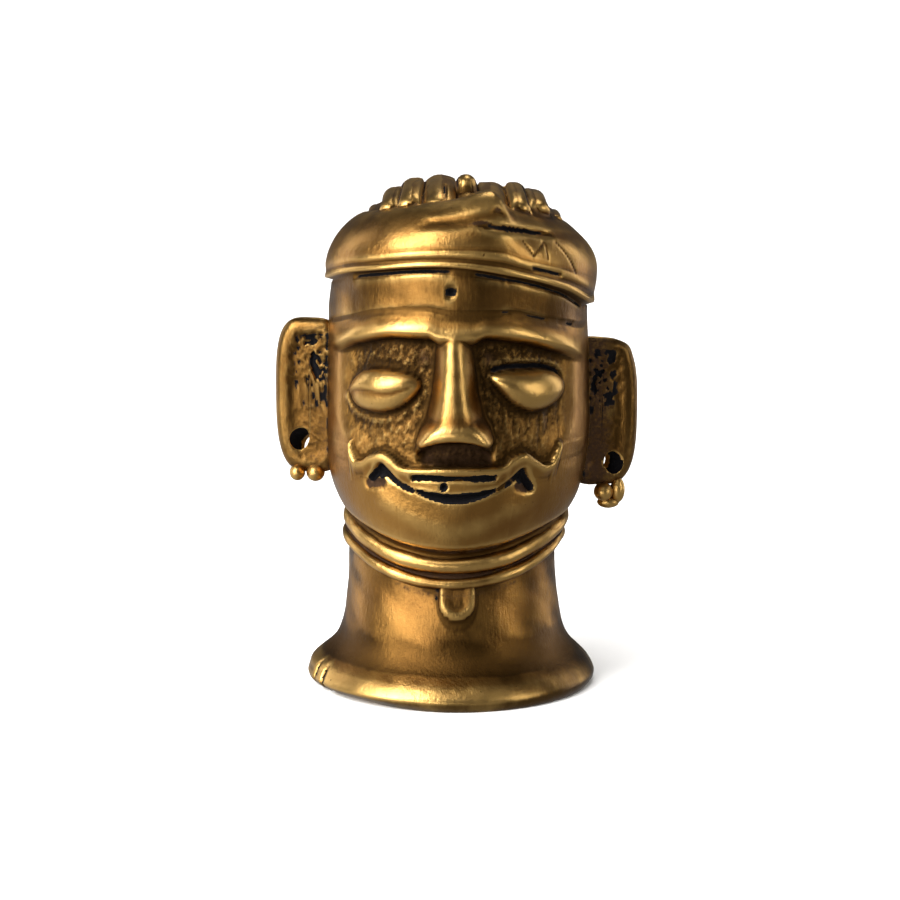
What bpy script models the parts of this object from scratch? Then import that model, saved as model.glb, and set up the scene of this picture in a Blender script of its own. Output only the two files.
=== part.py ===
"""A mukhalinga: a hollow brass head of Shiva, cast in one piece, that slips over a linga.

The casting is modelled as it was made in wax. A body is lofted from the foot to the crown, with the
brows, eyes, nose, moustache, lips, cords, turban and locks of hair raised on it. Two pierced ears
with their ear drops are joined on, and a core leaves the inside hollow.
Sizes are in millimetres, and angles in degrees round the head: 0 is the face's front, which looks
along -Y, and 90 is the side at +X. The finished mesh is scaled to metres.
"""

import math

import bmesh
import bpy
import numpy as np

MM = 0.001

# The casting as a whole. The carving keeps its places as shares of the height.
HEIGHT = 110.0
FOOT_RADIUS = 31.0
NECK_RADIUS = 22.2
HEAD_RADIUS = 28.0
TURBAN_RADIUS = 28.6
LIP_RADIUS = 21.2
WALL = 3.0
FOOT_BAND = 2.6

# What stands out of the skin, as the height of each form above it or its depth below it.
BROW_RISE = 1.7
SOCKET_DEPTH = 1.8
EYE_RISE = 3.7
NOSE_RISE = 6.4
MOUSTACHE_RISE = 0.9
MOUSTACHE_WIDTH = 2.1
MOUTH_DEPTH = 1.2
UPPER_CORD_RADIUS = 1.75
LOWER_CORD_RADIUS = 1.15
CORD_BULGE = 1.2
PENDANT_WIDTH = 8.2
PENDANT_RISE = 1.3
HEM_RISE = 0.5
FOLD_RISE = 0.85
LOCK_RISE = 3.1
KNOB_RADIUS = 2.2
UNEVENNESS = 0.22

# The ears. Each is a flat plate with a round edge and a low rim, pierced through its lobe.
EAR_THICKNESS = 3.4
EAR_EDGE = 1.9
EAR_RIM = 0.25
EAR_DISH = 0.3
EAR_RIM_WIDTH = 2.4
EAR_YAW = 14.0
EAR_DEPTH = -3.0
PIERCING_RADIUS = 2.45

# How finely the body is laid out before it is thinned, and how many triangles it keeps.
COLUMNS = 180
BODY_TRIANGLES = 6300

# Places up and down the casting are given in shares of its height: the whole has this many.
SHARES = 110.0
UNIT = HEIGHT / SHARES
ARC = math.radians(HEAD_RADIUS)


def through(stations, x):
    """The smooth curve through the (place, value) stations that never overshoots them."""
    places, values = (np.array(column, float) for column in zip(*stations))
    x = np.clip(x, places[0], places[-1])
    gaps = np.diff(places)
    rises = np.diff(values) / gaps
    before, after = rises[:-1], rises[1:]
    same_way = before * after > 0
    total = np.where(same_way, before + after, 1.0)
    inner = np.where(same_way, 2 * before * after / total, 0.0)
    slopes = np.concatenate([rises[:1], inner, rises[-1:]])
    i = np.clip(np.searchsorted(places, x, side="right") - 1, 0, len(gaps) - 1)
    gap = gaps[i]
    u = (x - places[i]) / gap
    start = values[i] * (1 + 2 * u) * (1 - u) ** 2 + slopes[i] * gap * u * (1 - u) ** 2
    end = values[i + 1] * u * u * (3 - 2 * u) + slopes[i + 1] * gap * u * u * (u - 1)
    return start + end


def around(stations, turn):
    """The same curve through stations at angles, closed round the head."""
    first, last = stations[0], stations[-1]
    closed = [(last[0] - 360, last[1])] + stations + [(first[0] + 360, first[1])]
    return through(closed, turn)


def step(x, low, high):
    """0 below low and 1 above high, with a smooth rise between them."""
    u = np.clip((x - low) / (high - low), 0, 1)
    return u * u * (3 - 2 * u)


def between(x, low, high, soft):
    """1 from low to high, fading over soft on both sides."""
    return step(x, low - soft, low) * (1 - step(x, high, high + soft))


def hill(distance, reach):
    """1 on the line and 0 at reach, round at the top and soft at the foot."""
    u = np.clip(np.abs(distance) / reach, 0, 1)
    return 0.5 * (1 + np.cos(math.pi * u))


def roll(distance, radius):
    """How far a round cord of this radius stands above its centre line."""
    return np.sqrt(np.clip(radius**2 - distance**2, 0, None))


def join(a, b, soft):
    """The higher of two surfaces, with a fillet where they meet."""
    return 0.5 * (a + b + np.sqrt((a - b) ** 2 + soft**2))


# Lines that run round the head, as stations of (angle, height).
HEM_LINE = [
    (-135, 85.3),
    (-90, 86.8),
    (-47, 90.5),
    (-8, 92.3),
    (25, 89.8),
    (46, 87.0),
    (75, 82.3),
    (110, 81.1),
    (170, 83.8),
]
TURBAN_TOP_LINE = [
    (-150, 99.5),
    (-90, 101.0),
    (-60, 102.2),
    (-35, 103.7),
    (-17, 104.7),
    (-2, 105.6),
    (9, 106.9),
    (16, 107.3),
    (20, 106.4),
    (25, 104.4),
    (32, 102.9),
    (45, 101.8),
    (62, 100.8),
    (90, 99.6),
    (140, 98.8),
]
BROW_TOP_LINE = [
    (-150, 79.0),
    (-79, 78.8),
    (-56, 80.6),
    (-39, 82.5),
    (-15, 83.7),
    (-2, 83.0),
    (20, 82.9),
    (39, 81.0),
    (72, 78.4),
    (140, 78.4),
]
BROW_EDGE_LINE = [
    (-150, 74.0),
    (-69, 73.3),
    (-48, 76.0),
    (-26, 77.8),
    (-13, 77.8),
    (-7, 76.6),
    (5, 76.6),
    (12, 77.8),
    (27, 76.8),
    (49, 74.0),
    (73, 70.6),
    (140, 73.0),
]
MOUSTACHE_LINE = [
    (-120, 53.4),
    (-53.5, 53.4),
    (-51.8, 51.8),
    (-48.5, 50.3),
    (-44.5, 50.6),
    (-39.5, 51.9),
    (-34.0, 52.5),
    (-29.8, 51.8),
    (-24.5, 50.3),
    (-19.0, 50.0),
    (-1.0, 50.4),
    (17.0, 50.2),
    (20.5, 50.6),
    (24.0, 51.9),
    (28.8, 52.5),
    (34.0, 51.4),
    (41.0, 49.9),
    (44.5, 50.2),
    (47.0, 51.8),
    (49.6, 53.9),
    (120, 54.0),
]
# The dark grooves under the moustache and the soft V of the chin, as (angle, height) corners.
LEFT_PEAK = [(-39.6, 48.0), (-34.3, 50.5), (-30.5, 49.2), (-26.5, 47.9), (-19.5, 46.1)]
RIGHT_PEAK = [(34.6, 46.2), (31.6, 48.0), (29.0, 49.6), (25.8, 48.6), (17.6, 46.2)]
LEFT_PEAK_FOOT = [(-40.5, 46.8), (-34.0, 47.4)]
RIGHT_PEAK_FOOT = [(28.0, 46.9), (31.5, 46.2)]
CHIN_LINE = [(-34.0, 43.4), (-18.0, 40.3), (-6.4, 38.1), (1.0, 37.4), (9.2, 38.4), (34.0, 43.5)]
# Each ear: how deep its root sits in the head's side, how far it stands out of it, where its
# hole is from its outer edge and its foot, and where each drop hangs from there, with its size.
EARS = [
    {
        "name": "left_ear",
        "side": -1,
        "inner": HEAD_RADIUS - 6.0,
        "outer": HEAD_RADIUS + 9.7,
        "top": 78.9,
        "bottom": 45.5,
        "taper": 0.06,
        "slope": 0.0,
        "piercing": (5.6, 7.4),
        "slant": (-1.0, -0.8),
        "drops": [((5.0, -1.6, 0.0), (1.7, 2.1, 1.8)), ((8.9, -2.0, 0.1), (2.0, 2.4, 2.0))],
    },
    {
        "name": "right_ear",
        "side": 1,
        "inner": HEAD_RADIUS - 4.0,
        "outer": HEAD_RADIUS + 12.6,
        "top": 75.6,
        "bottom": 42.7,
        "taper": 0.05,
        "slope": 0.11,
        "piercing": (5.5, 4.9),
        "slant": (-1.25, 0.1),
        "drops": [
            ((7.7, -1.8, -1.4), (2.1, 2.4, 2.0)),
            ((4.6, -0.8, -1.2), (1.6, 1.8, 2.8)),
            ((6.6, -0.6, -3.9), (2.4, 1.7, 1.35)),
        ],
    },
]
# How far the middle of the casting leans toward +X on its way up.
LEAN = [(0, 0.25), (27, 0.5), (45, 1.2), (60, 1.85), (80, 1.7), (88, 2.4), (110, 2.3)]


def facing(turn):
    """1 at the front, 0 at the sides and the back."""
    return np.clip(np.cos(np.radians(turn)), 0, None)


def lower_cord_line(turn):
    back = np.clip(-np.cos(np.radians(turn)), 0, None)
    return 32.6 - 7.0 * facing(turn) ** 1.6 + 2.2 * back


def upper_cord_line(turn):
    back = np.clip(-np.cos(np.radians(turn)), 0, None)
    return 36.3 - 6.9 * facing(turn) ** 1.5 + 2.2 * back


def jaw_line(turn):
    back = np.clip(-np.cos(np.radians(turn)), 0, None)
    return 39.4 - 5.9 * facing(turn) ** 2 + 1.6 * back


def neck_radius(z):
    """The foot's rim, the flare above it and the neck."""
    rim, neck = FOOT_RADIUS, NECK_RADIUS
    flare = rim - neck
    stations = [
        (-3.0, rim - 2.0),
        (0.0, rim - 1.0),
        (1.2, rim - 0.15),
        (2.2, rim),
        (3.2, rim - 0.45),
        (4.6, neck + 0.84 * flare),
        (6.2, neck + 0.66 * flare),
        (8.0, neck + 0.45 * flare),
        (10.1, neck + 0.29 * flare),
        (13.0, neck + 0.17 * flare),
        (17.0, neck + 0.09 * flare),
        (26.0, neck),
        (60.0, neck),
    ]
    return through(stations, z)


def skin_radius(turn, z):
    """The head without its features: jaw, cheeks and brow in one smooth skin over the neck."""
    jaw = jaw_line(turn)
    jaw_radius = NECK_RADIUS + 1.7 + 0.9 * facing(turn)
    full = [(50, HEAD_RADIUS - 0.3), (57, HEAD_RADIUS), (63, HEAD_RADIUS)]
    full += [(74, HEAD_RADIUS - 0.3), (81, HEAD_RADIUS - 0.6), (95, HEAD_RADIUS - 0.5)]
    cheek = through(full, z)
    u = np.clip((z - jaw) / (50.5 - jaw), 0, 1)
    swell = (1 - (1 - u) ** 2) ** (1 - 0.22 * facing(turn))
    above = jaw_radius + (cheek - jaw_radius) * swell
    below = jaw_radius - 1.9 * (jaw - z)
    head = np.where(z > jaw, above, below)
    return join(neck_radius(z), head, 0.7)


def cord_lines(turn):
    """Each cord's height, its radius and how deep its middle lies in the neck."""
    return (
        (upper_cord_line(turn), UPPER_CORD_RADIUS, 0.35),
        (lower_cord_line(turn), LOWER_CORD_RADIUS, -0.25),
    )


def with_cords(turn, z, radius):
    """Two cords round the neck and the pendant that hangs from them."""
    neck = neck_radius(z)
    for line, cord, sunk in cord_lines(turn):
        slope = 0.75 + 0.25 * np.abs(np.cos(np.radians(turn))) ** 0.5
        off = (z - line) * slope
        centre = neck - sunk
        cord_top = np.where(np.abs(off) < cord, centre + roll(off, cord), 0.0)
        radius = join(radius, cord_top, 0.18)
    across = (turn - 2.7) * math.radians(NECK_RADIUS + 1)
    half = PENDANT_WIDTH / 2
    down = np.clip(21.8 - z, 0, None)
    edge = np.hypot(across, down) - half
    tab = PENDANT_RISE * (1 - step(edge, -0.8, 0.25)) * step(26.2 - z, 0, 0.6)
    hollow = 0.25 * (1 - step(np.hypot(across, down * 0.8), 0.8, 2.8))
    return np.maximum(radius, neck + tab - hollow * (tab > 0.3))


def near(turn, z, corners, flatten=1.0):
    """The distance over the skin from each point to the line through these corners."""
    best = np.full(np.broadcast(turn, z).shape, 99.0)
    for (turn_a, z_a), (turn_b, z_b) in zip(corners, corners[1:]):
        along, up = (turn_b - turn_a) * ARC, z_b - z_a
        across, rise = (turn - turn_a) * ARC, z - z_a
        share = np.clip((across * along + rise * up) / (along**2 + up**2), 0, 1)
        off = np.hypot(across - share * along, (rise - share * up) * flatten)
        best = np.minimum(best, off)
    return best


def sockets(turn, z):
    """How deep the rough ground round the eyes and on the cheeks lies below the skin."""
    brow, lip = around(BROW_EDGE_LINE, turn), around(MOUSTACHE_LINE, turn)
    closer = 8.0 * (1 - step(z, 54, 60))
    wide = step(turn, -66 + closer, -46 + closer) * (1 - step(turn, 43 - closer, 63 - closer))
    tall = (1 - step(z, brow - 0.9, brow + 0.3)) * step(z, lip + 0.1, lip + 1.1)
    depth = 1.2 + (SOCKET_DEPTH - 1.2) * step(z, 55, 67)
    side = np.abs(turn + 0.8)
    corner = 1.1 * np.exp(-(((side - 14) / 6) ** 2) - ((z - 73.4) / 4.0) ** 2)
    return (depth + corner) * wide * tall


def brow(turn, z):
    """The brows: one roll from ear to ear, undercut above the sockets."""
    top, edge = around(BROW_TOP_LINE, turn), around(BROW_EDGE_LINE, turn)
    u = np.clip((z - edge) / (top - edge), -0.5, 1)
    rise = step(u, -0.10, 0.26) * (1 - step(u, 0.26, 1.0))
    ends = 1 - step(np.abs(turn + 1.5), 44, 80)
    crease = 0.35 * hill(z - top, 0.5) * (1 - step(np.abs(turn), 60, 85))
    return BROW_RISE * rise * ends - crease * (1 - 0.7 * hill(turn + 1, 8))


# The eyes: middle, half length and height, how far the ends lift, and how pointed they are.
EYES = [
    {"out": -1, "turn": -37.0, "z": 66.4, "half": (9.9, 5.0), "lift": (1.6, -1.2), "point": 0.6},
    {"out": 1, "turn": 33.6, "z": 66.4, "half": (10.0, 4.7), "lift": (3.4, 0.2), "point": 0.8},
]


def eye(turn, z, form):
    """How far one eye bulges, the height above its middle, and the share of its length."""
    half_length, half_height = form["half"]
    inner_lift, outer_lift = form["lift"]
    p = (turn - form["turn"]) * form["out"] * ARC / half_length
    inside, outside = np.clip(-p, 0, 1), np.clip(p, 0, 1)
    middle = form["z"] + inner_lift * inside**1.6 + outer_lift * outside**1.5
    ends = np.clip(1 - p * p, 0, None)
    half = half_height * np.where(p < 0, ends ** form["point"], ends**0.5) + 1e-6
    over = np.clip(1 - ((z - middle) / half) ** 2, 0, None)
    dome = np.where(ends > 0, ends**0.45 * over**0.55, 0)
    return dome, z - middle, half, p


def with_eyes(turn, z, skin, radius):
    """Both eyes, with the fold across the left one and the lid over the right one."""
    left, left_off, left_half, left_p = eye(turn, z, EYES[0])
    right, right_off, right_half, right_p = eye(turn, z, EYES[1])
    for dome in (left, right):
        bulge = skin - SOCKET_DEPTH - 0.5 + (EYE_RISE + 0.5) * dome
        radius = join(radius, bulge, 0.25)
    fold_line = left_off - 0.6 + 1.2 * left_p - 0.8 * np.sin(3.2 * left_p)
    fold = 0.5 * step(-fold_line, -0.7, 0.9) * (1 - step(-fold_line, 0.7, 4.6)) * step(left, 0.2, 0.7)
    lid_off = right_off - right_half
    span = between(right_p, -0.82, 0.75, 0.25)
    slit = 0.9 * hill(lid_off - 0.35, 0.8) * span
    lid = 0.3 * hill(lid_off - 1.5, 1.0) * span
    bag = 0.3 * hill(left_off + left_half + 1.2, 1.5) * between(left_p, -0.6, 0.95, 0.25)
    return radius - fold - slit + lid + bag


# Half the width of the nose where it meets the face, up its length.
NOSE_FOOT = [(51.5, 9.3), (54, 9.0), (58, 8.3), (62, 6.6), (70, 4.8), (79, 4.0)]


def nose(turn, z):
    """A long wedge with a flat ridge that flares into the nostrils."""
    off = (turn - through([(50, -2.2), (60, -1.6), (80, -1.7)], z)) * ARC
    ridge = through([(52, 6.4), (56.5, 6.3), (58.8, 5.0), (61.5, 2.8), (70, 1.7), (79, 1.2)], z)
    foot = through(NOSE_FOOT, z)
    height = [(52, 0.55), (56.3, 0.9), (59, 1.0), (62, 0.86), (70, 0.57), (77, 0.36), (83, 0.0)]
    rise = NOSE_RISE * through(height, z) * (z < 84)
    slope = (foot - np.abs(off)) / (foot - ridge)
    slope = 0.5 * (slope + 1 - np.sqrt((slope - 1) ** 2 + 0.15))
    under = 56.9 - 3.9 * np.clip(np.abs(off) / 9.0, 0, 1.2) ** 2.2
    cut = step(z, under - 0.8, under + 0.9)
    top = 1 - step(z, 78, 83)
    return (rise + SOCKET_DEPTH) * np.clip(slope, -1, 1) * cut - SOCKET_DEPTH - 1.5 * (1 - top)


def face_radius(turn, z):
    """The skin with the brows, eyes, nose, moustache and lips."""
    skin = skin_radius(turn, z)
    radius = skin - sockets(turn, z)
    radius = with_eyes(turn, z, skin, radius)
    radius = radius + brow(turn, z)
    nose_top = skin + nose(turn, z)
    radius = np.where(np.abs(turn) < 26, join(radius, nose_top, 0.4), radius)
    return with_mouth(turn, z, skin, radius)


def with_mouth(turn, z, skin, radius):
    """The moustache with its curled ends, the lip below it and the two dark slits."""
    line = around(MOUSTACHE_LINE, turn)
    slope = (around(MOUSTACHE_LINE, turn + 0.5) - around(MOUSTACHE_LINE, turn - 0.5)) / ARC
    off = (z - line) / np.sqrt(1 + slope**2)
    humps = hill(turn + 34, 12) + hill(turn - 29, 11)
    half = MOUSTACHE_WIDTH / 2 * (0.9 + 0.35 * humps)
    ends = between(turn, -52.6, 48.8, 2.0)
    philtrum = 1.5 * between(turn, -15, 13, 5) * between(z, 52.6, 55.4, 1.2)
    radius = radius - philtrum
    crest = 0.3 * half
    above = np.clip((off - crest) / (half - crest), 0, 1)
    below = np.clip((crest - off) / (3.0 * half), 0, 1)
    ribbon = MOUSTACHE_RISE * np.sqrt(1 - above**2) * 0.5 * (1 + np.cos(math.pi * below)) * ends
    held = (off < half) & (off > -2.7 * half)
    radius = np.where(held, join(radius, skin + ribbon, 0.12), radius)
    for peak, foot in ((LEFT_PEAK, LEFT_PEAK_FOOT), (RIGHT_PEAK, RIGHT_PEAK_FOOT)):
        apex = np.exp(-(((turn - peak[1][0]) * ARC / 3.4) ** 2))
        radius = radius - (0.3 + 1.2 * apex) * (1 - step(near(turn, z, peak), 0.1, 0.6 + 0.9 * apex))
        radius = radius - 0.35 * hill(near(turn, z, foot), 1.8)
    upper = hill(z - 48.95, 0.75) * between(turn, -19.2, 16.6, 0.9)
    smile = 44.7 + 0.0052 * (turn + 0.6) ** 2
    wide = 0.95 * np.clip(1 - ((turn - 0.2) / 18.6) ** 2, 0.02, 1) ** 0.6
    lower = hill(z - smile, wide) * between(turn, -17.0, 17.2, 1.0)
    dot = hill(np.hypot((turn + 5.4) * ARC, z - 47.15), 0.95)
    chin = 0.22 * hill(near(turn, z, CHIN_LINE), 3.6)
    return radius - MOUTH_DEPTH * (upper + lower) - 1.1 * dot + chin


def forehead(turn, z, radius):
    """The bare band between brows and turban, with the pierced mark of the third eye."""
    mark = hill(np.hypot((turn + 4.6) * ARC, (z - 87.4) * 1.15), 1.45)
    return radius - 1.5 * mark


def nicks(turn, z):
    """The two nicks in the foot's rim, each 1 at its middle and 0 outside it."""
    first = hill((turn + 71.5) * 0.54, 1.0) * between(z, 1.2, 4.6, 0.9)
    second = hill((turn + 63.5) * 0.54 + (z - 2.5) * 0.25, 1.1) * between(z, -3.0, 4.4, 0.8)
    return first, second


def dents(turn, z, radius):
    """The bent and nicked rim of the foot, on the side at -X."""
    lift = 1.2 * np.exp(-(((turn + 84) / 18) ** 2) - ((z - 5.6) / 1.8) ** 2)
    lift = lift - 3.0 * np.exp(-(((turn + 45) / 30) ** 2)) * (1 - step(z, -0.5, 2.4))
    first, second = nicks(turn, z)
    return radius + lift - 1.3 * first - 1.5 * second


def uneven(turn, z):
    """The slight waves that the modeller's fingers left in the wax."""
    angle = np.radians(turn)
    slow = np.sin(3 * angle + 0.21 * z) + np.sin(5 * angle - 0.13 * z + 1.0)
    quick = np.sin(9 * angle + 0.34 * z + 2.0) * np.sin(0.45 * z + 4 * angle)
    return UNEVENNESS * (slow + 0.8 * quick) / 2.8


def cord_swell(turn, z):
    """The fuller side at +X, where the cords stand further out."""
    return CORD_BULGE * between(turn, 75, 105, 40) * hill(z - 38, 10)


def body_radius(turn, z):
    """The radius of the whole body below the turban."""
    z = z / UNIT
    radius = face_radius(turn, z)
    radius = with_cords(turn, z, radius)
    radius = forehead(turn, z, radius)
    return dents(turn, z, radius) + cord_swell(turn, z) + uneven(turn, z)


def spaced(levels):
    """Rows of heights between neighbouring lines, each given as (line, rows up to it)."""
    rows = [levels[0][0]]
    for (low, _), (high, count) in zip(levels, levels[1:]):
        rows += [low + (high - low) * (k + 1) / count for k in range(count)]
    return np.array(rows)


def body_rows(turn, fine):
    """The body from below the foot to the turban's hem, as x, y and z of every point."""
    flat = np.ones_like(turn)
    low_cord, up_cord, jaw = lower_cord_line(turn), upper_cord_line(turn), jaw_line(turn)
    levels = [
        (-2.0 * flat, 0),
        (0.0 * flat, 2),
        (5.5 * flat, 10),
        (16.0 * flat, 12),
        (low_cord - 1.6, 10),
        (low_cord + 1.2, 9),
        (up_cord + 1.6, 9),
        (jaw + 1.2, 9),
        (43.0 * flat, 10),
        (51.5 * flat, 24),
        (58.0 * flat, 16),
        (around(BROW_EDGE_LINE, turn) - 0.8, 34),
        (around(BROW_EDGE_LINE, turn) + 1.6, 8),
        (around(BROW_TOP_LINE, turn) + 0.8, 8),
        (around(HEM_LINE, turn), 12),
    ]
    scaled = [(line * UNIT, max(1, round(count * fine))) for line, count in levels]
    z = spaced(scaled)
    turns = np.broadcast_to(turn, z.shape)
    radius = body_radius(turns, z)
    radius[-1] -= 0.3
    return turns, radius, z


def band_profile(share):
    """The turban's outline from hem to lip, as (radius share, height share of the band)."""
    radius = TURBAN_RADIUS - LIP_RADIUS
    height = np.where(share < 0.36, share * 0.95, 0.342 + (share - 0.36) * 1.0281)
    t = np.clip((height - 0.26) / 0.74, 0, 1)
    body = LIP_RADIUS + radius * np.clip(1 - t**1.8, 0, 1) ** 0.8
    start = step(height, -0.02, 0.012)
    return body * start + (HEAD_RADIUS - 0.7) * (1 - start), height


def hem_rolls(turn, height):
    """The turban's hem: a thin lip, a soft roll above it and the crease that sets off the band."""
    apart = between(turn, -42, 62, 26)
    lip = HEM_RISE * (0.5 + 0.5 * apart) * hill(height - 0.058, 0.09)
    valley = 0.12 * hill(height - 0.14, 0.09) * (0.25 + 0.75 * apart)
    second = 0.5 * HEM_RISE * hill(height - 0.225, 0.12) * (0.4 + 0.6 * apart)
    crease = 0.12 * hill(height - 0.30, 0.045) * between(turn, -24, 48, 18)
    return lip - valley + second - crease


def seam_height(turn):
    """Where the slit beside the fold runs, as a share of the turban's band at each angle."""
    hem, top = around(HEM_LINE, turn), around(TURBAN_TOP_LINE, turn)
    return (100.6 - 0.075 * (turn - 12) - hem) / (top - hem)


def fold(turn, height):
    """The turban's end, which sweeps up over the front and is tucked in beside a dark slit."""
    seam = seam_height(turn)
    low = 0.705 - 0.0006 * (turn - 14)
    flap = step(turn, -34, 8) * (1 - step(turn, 19, 27)) * step(height, low - 0.08, low + 0.3)
    upper = between(turn, 24, 70, 10) * step(height, seam + 0.01, seam + 0.10)
    valley = between(turn, -12, 12, 11) * hill(height - low + 0.02, 0.13)
    full = 1.1 * between(turn, 60, 130, 30) * hill(height - 0.6, 0.4)
    slit = hill(height - seam, 0.05) * between(turn, 13, 40, 8)
    pit = np.exp(-(((turn - 17) / 3.5) ** 2) - ((height - 0.78) / 0.05) ** 2)
    tip = np.exp(-(((turn - 13) / 9) ** 2) - ((height - 1.0) / 0.2) ** 2)
    rise = FOLD_RISE * (flap + 0.3 * upper + 0.5 * tip)
    return rise + full - 0.35 * valley - 1.4 * slit - 0.4 * pit


def scores(turn, height):
    """The four tool cuts scratched into the turban at +X, and the short slit in its hem."""
    depth = 0.0
    for low_turn, low, high_turn, high in SCORES:
        line = [(low_turn, low * 14), (high_turn, high * 14)]
        depth = depth + 0.2 * hill(near(turn, height * 14, line), 0.36)
    hem = [(31, 0.20 * 14), (45, 0.21 * 14)]
    return depth + 0.8 * hill(near(turn, height * 14, hem), 0.6)


SCORES = [
    (31.5, 0.38, 27.0, 0.55),
    (31.5, 0.40, 38.5, 0.62),
    (38.3, 0.38, 39.0, 0.60),
    (55.0, 0.30, 45.5, 0.66),
]


def turban_rows(turn, fine):
    """The turban from its hem to its lip."""
    share = np.linspace(0, 1, round(34 * fine) + 1)[1:, None]
    radius, height = band_profile(share)
    turns = np.broadcast_to(turn, (len(share), len(turn)))
    hem, top = around(HEM_LINE, turn), around(TURBAN_TOP_LINE, turn)
    z = (hem + (top - hem) * height) * UNIT
    height = np.broadcast_to(height, turns.shape)
    radius = radius + hem_rolls(turns, height) + fold(turns, height)
    radius = radius - scores(turns, height) + uneven(turns, z)
    return turns, radius, z


# The locks of hair, as (place across the head, half width, rise as a share of LOCK_RISE).
LOCKS = [
    (-18.0, 1.5, 0.2),
    (-13.9, 2.5, 0.72),
    (-9.8, 3.0, 0.93),
    (-4.4, 4.1, 0.8),
    (1.2, 2.6, 0.5),
    (6.2, 3.9, 0.38),
    (11.3, 2.4, 0.75),
    (15.2, 2.7, 0.75),
    (19.4, 1.7, 0.2),
]
LOCK_SLIT = (-3.3, -14.5)
GROOVE_DEPTH = 1.0


def dome_height(x, y):
    """The round crown under the locks."""
    share = np.clip(np.sqrt((x / 23.4) ** 2 + np.abs(y / 23.6) ** 3.2), 0, 1)
    return 94.0 + 12.2 * np.sqrt(1 - share**2)


def across_head(place, y):
    """Where a lock lies across the head, as it bows outward to its ends."""
    return place * (1 + 0.10 * np.clip(np.abs(y) / 20, 0, 1) ** 2)


def locks_at(x, y):
    """How high the locks stand at a place, and 1 in the groove between two of them."""
    lip = np.sqrt(np.clip((LIP_RADIUS - 0.4) ** 2 - x**2, 0, None))
    from_end = np.clip((lip - np.abs(y)) / 3.2, 0, 1)
    end = np.sqrt(1 - (1 - from_end) ** 2)
    best, second = np.zeros_like(x), np.zeros_like(x)
    for place, half, height in LOCKS:
        lock = height * np.clip(1 - ((x - across_head(place, y)) / half) ** 2, 0, None) ** 0.5
        second = np.maximum(second, np.minimum(best, lock))
        best = np.maximum(best, lock)
    groove = hill(best - second, 0.4) * step(second, 0.02, 0.1)
    return LOCK_RISE * best * end, groove * end


def hair_height(x, y):
    """The crown: locks combed from front to back over a dome, and a knob of hair on top."""
    rise, groove = locks_at(x, y)
    slit = hill(x - LOCK_SLIT[0], 0.5) * hill(y - LOCK_SLIT[1], 4.5)
    crown = dome_height(x, y) + rise - GROOVE_DEPTH * groove - 1.2 * slit
    reach = np.hypot(x - 1.0, (y + 11.0) / 1.3)
    knob = SHARES - KNOB_RADIUS + roll(reach, KNOB_RADIUS)
    return np.where(reach < KNOB_RADIUS, join(crown, knob, 0.3), crown)


def crown_rows(turn, fine):
    """The crown from the turban's lip to the last ring before the pole."""
    rows = round(46 * fine)
    share = 1 - np.linspace(0, 1, rows + 1)[1:-1, None] ** 0.9
    turns = np.broadcast_to(turn, (len(share), len(turn)))
    radius = share * LIP_RADIUS + 0 * turns
    angle = np.radians(turns)
    x, y = radius * np.sin(angle), -radius * np.cos(angle)
    inside = (1 - share) * LIP_RADIUS
    top = around(TURBAN_TOP_LINE, turn)
    lip = top + 0.25 * hill(inside - 0.5, 1.0) - 2.2 * np.clip(inside - 1.0, 0, None)
    height = join(hair_height(x, y), lip, 0.25)
    return turns, radius, height * UNIT


def columns(count):
    """Angles round the head, closer together over the face."""
    even = np.linspace(-180, 180, 2001)
    dense = 1.0 + 2.2 * between(even, -66, 66, 25)
    total = np.concatenate([[0], np.cumsum((dense[1:] + dense[:-1]) / 2)])
    return np.interp(np.arange(count) / count * total[-1], total, even)


def body_points(count, fine):
    """The outside of the body as rows of points, and the point of the crown."""
    turn = columns(count)
    parts = [body_rows(turn, fine), turban_rows(turn, fine), crown_rows(turn, fine)]
    turns, radius, z = (np.concatenate(column) for column in zip(*parts))
    angle = np.radians(turns)
    lean = through(LEAN, z / UNIT)
    points = np.stack([lean + radius * np.sin(angle), -radius * np.cos(angle), z], -1)
    zero = np.zeros(1)
    pole = np.array([LEAN[-1][1], 0, hair_height(zero, zero)[0] * UNIT])
    return points, pole


def ear_outline(wide, tall, ear, inset, count):
    """The ear's edge in X and Z from its middle, rounded and narrower at its foot."""
    angle = np.linspace(0, 2 * math.pi, count, endpoint=False)
    c, s = np.cos(angle), np.sin(angle)
    x = (wide / 2 - inset) * np.sign(c) * np.abs(c) ** 0.55
    z = (tall / 2 - inset) * np.sign(s) * np.abs(s) ** 0.62
    low, high = np.clip(-z / (tall / 2), 0, 1), np.clip(z / (tall / 2), 0, 1)
    bump = 0.3 * np.exp(-(((angle - 0.95) / 0.2) ** 2)) * (ear["slope"] > 0)
    z = z - ear["slope"] * (x + wide / 2) * high + bump
    return np.where(x > 0, x * (1 - ear["taper"] * low**2.2), x) + 0.6 * bump, z


def ear_front(inset):
    """How far the ear's front stands out of its middle plane, at this distance in from its edge."""
    edge = np.clip(inset / EAR_EDGE, 0, 1)
    round_edge = EAR_THICKNESS / 2 * np.sqrt(1 - (1 - edge) ** 2)
    dish = EAR_DISH * step(inset, EAR_RIM_WIDTH, 2.2 * EAR_RIM_WIDTH)
    return round_edge + EAR_RIM * hill(inset - EAR_RIM_WIDTH, EAR_RIM_WIDTH) - dish


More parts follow.
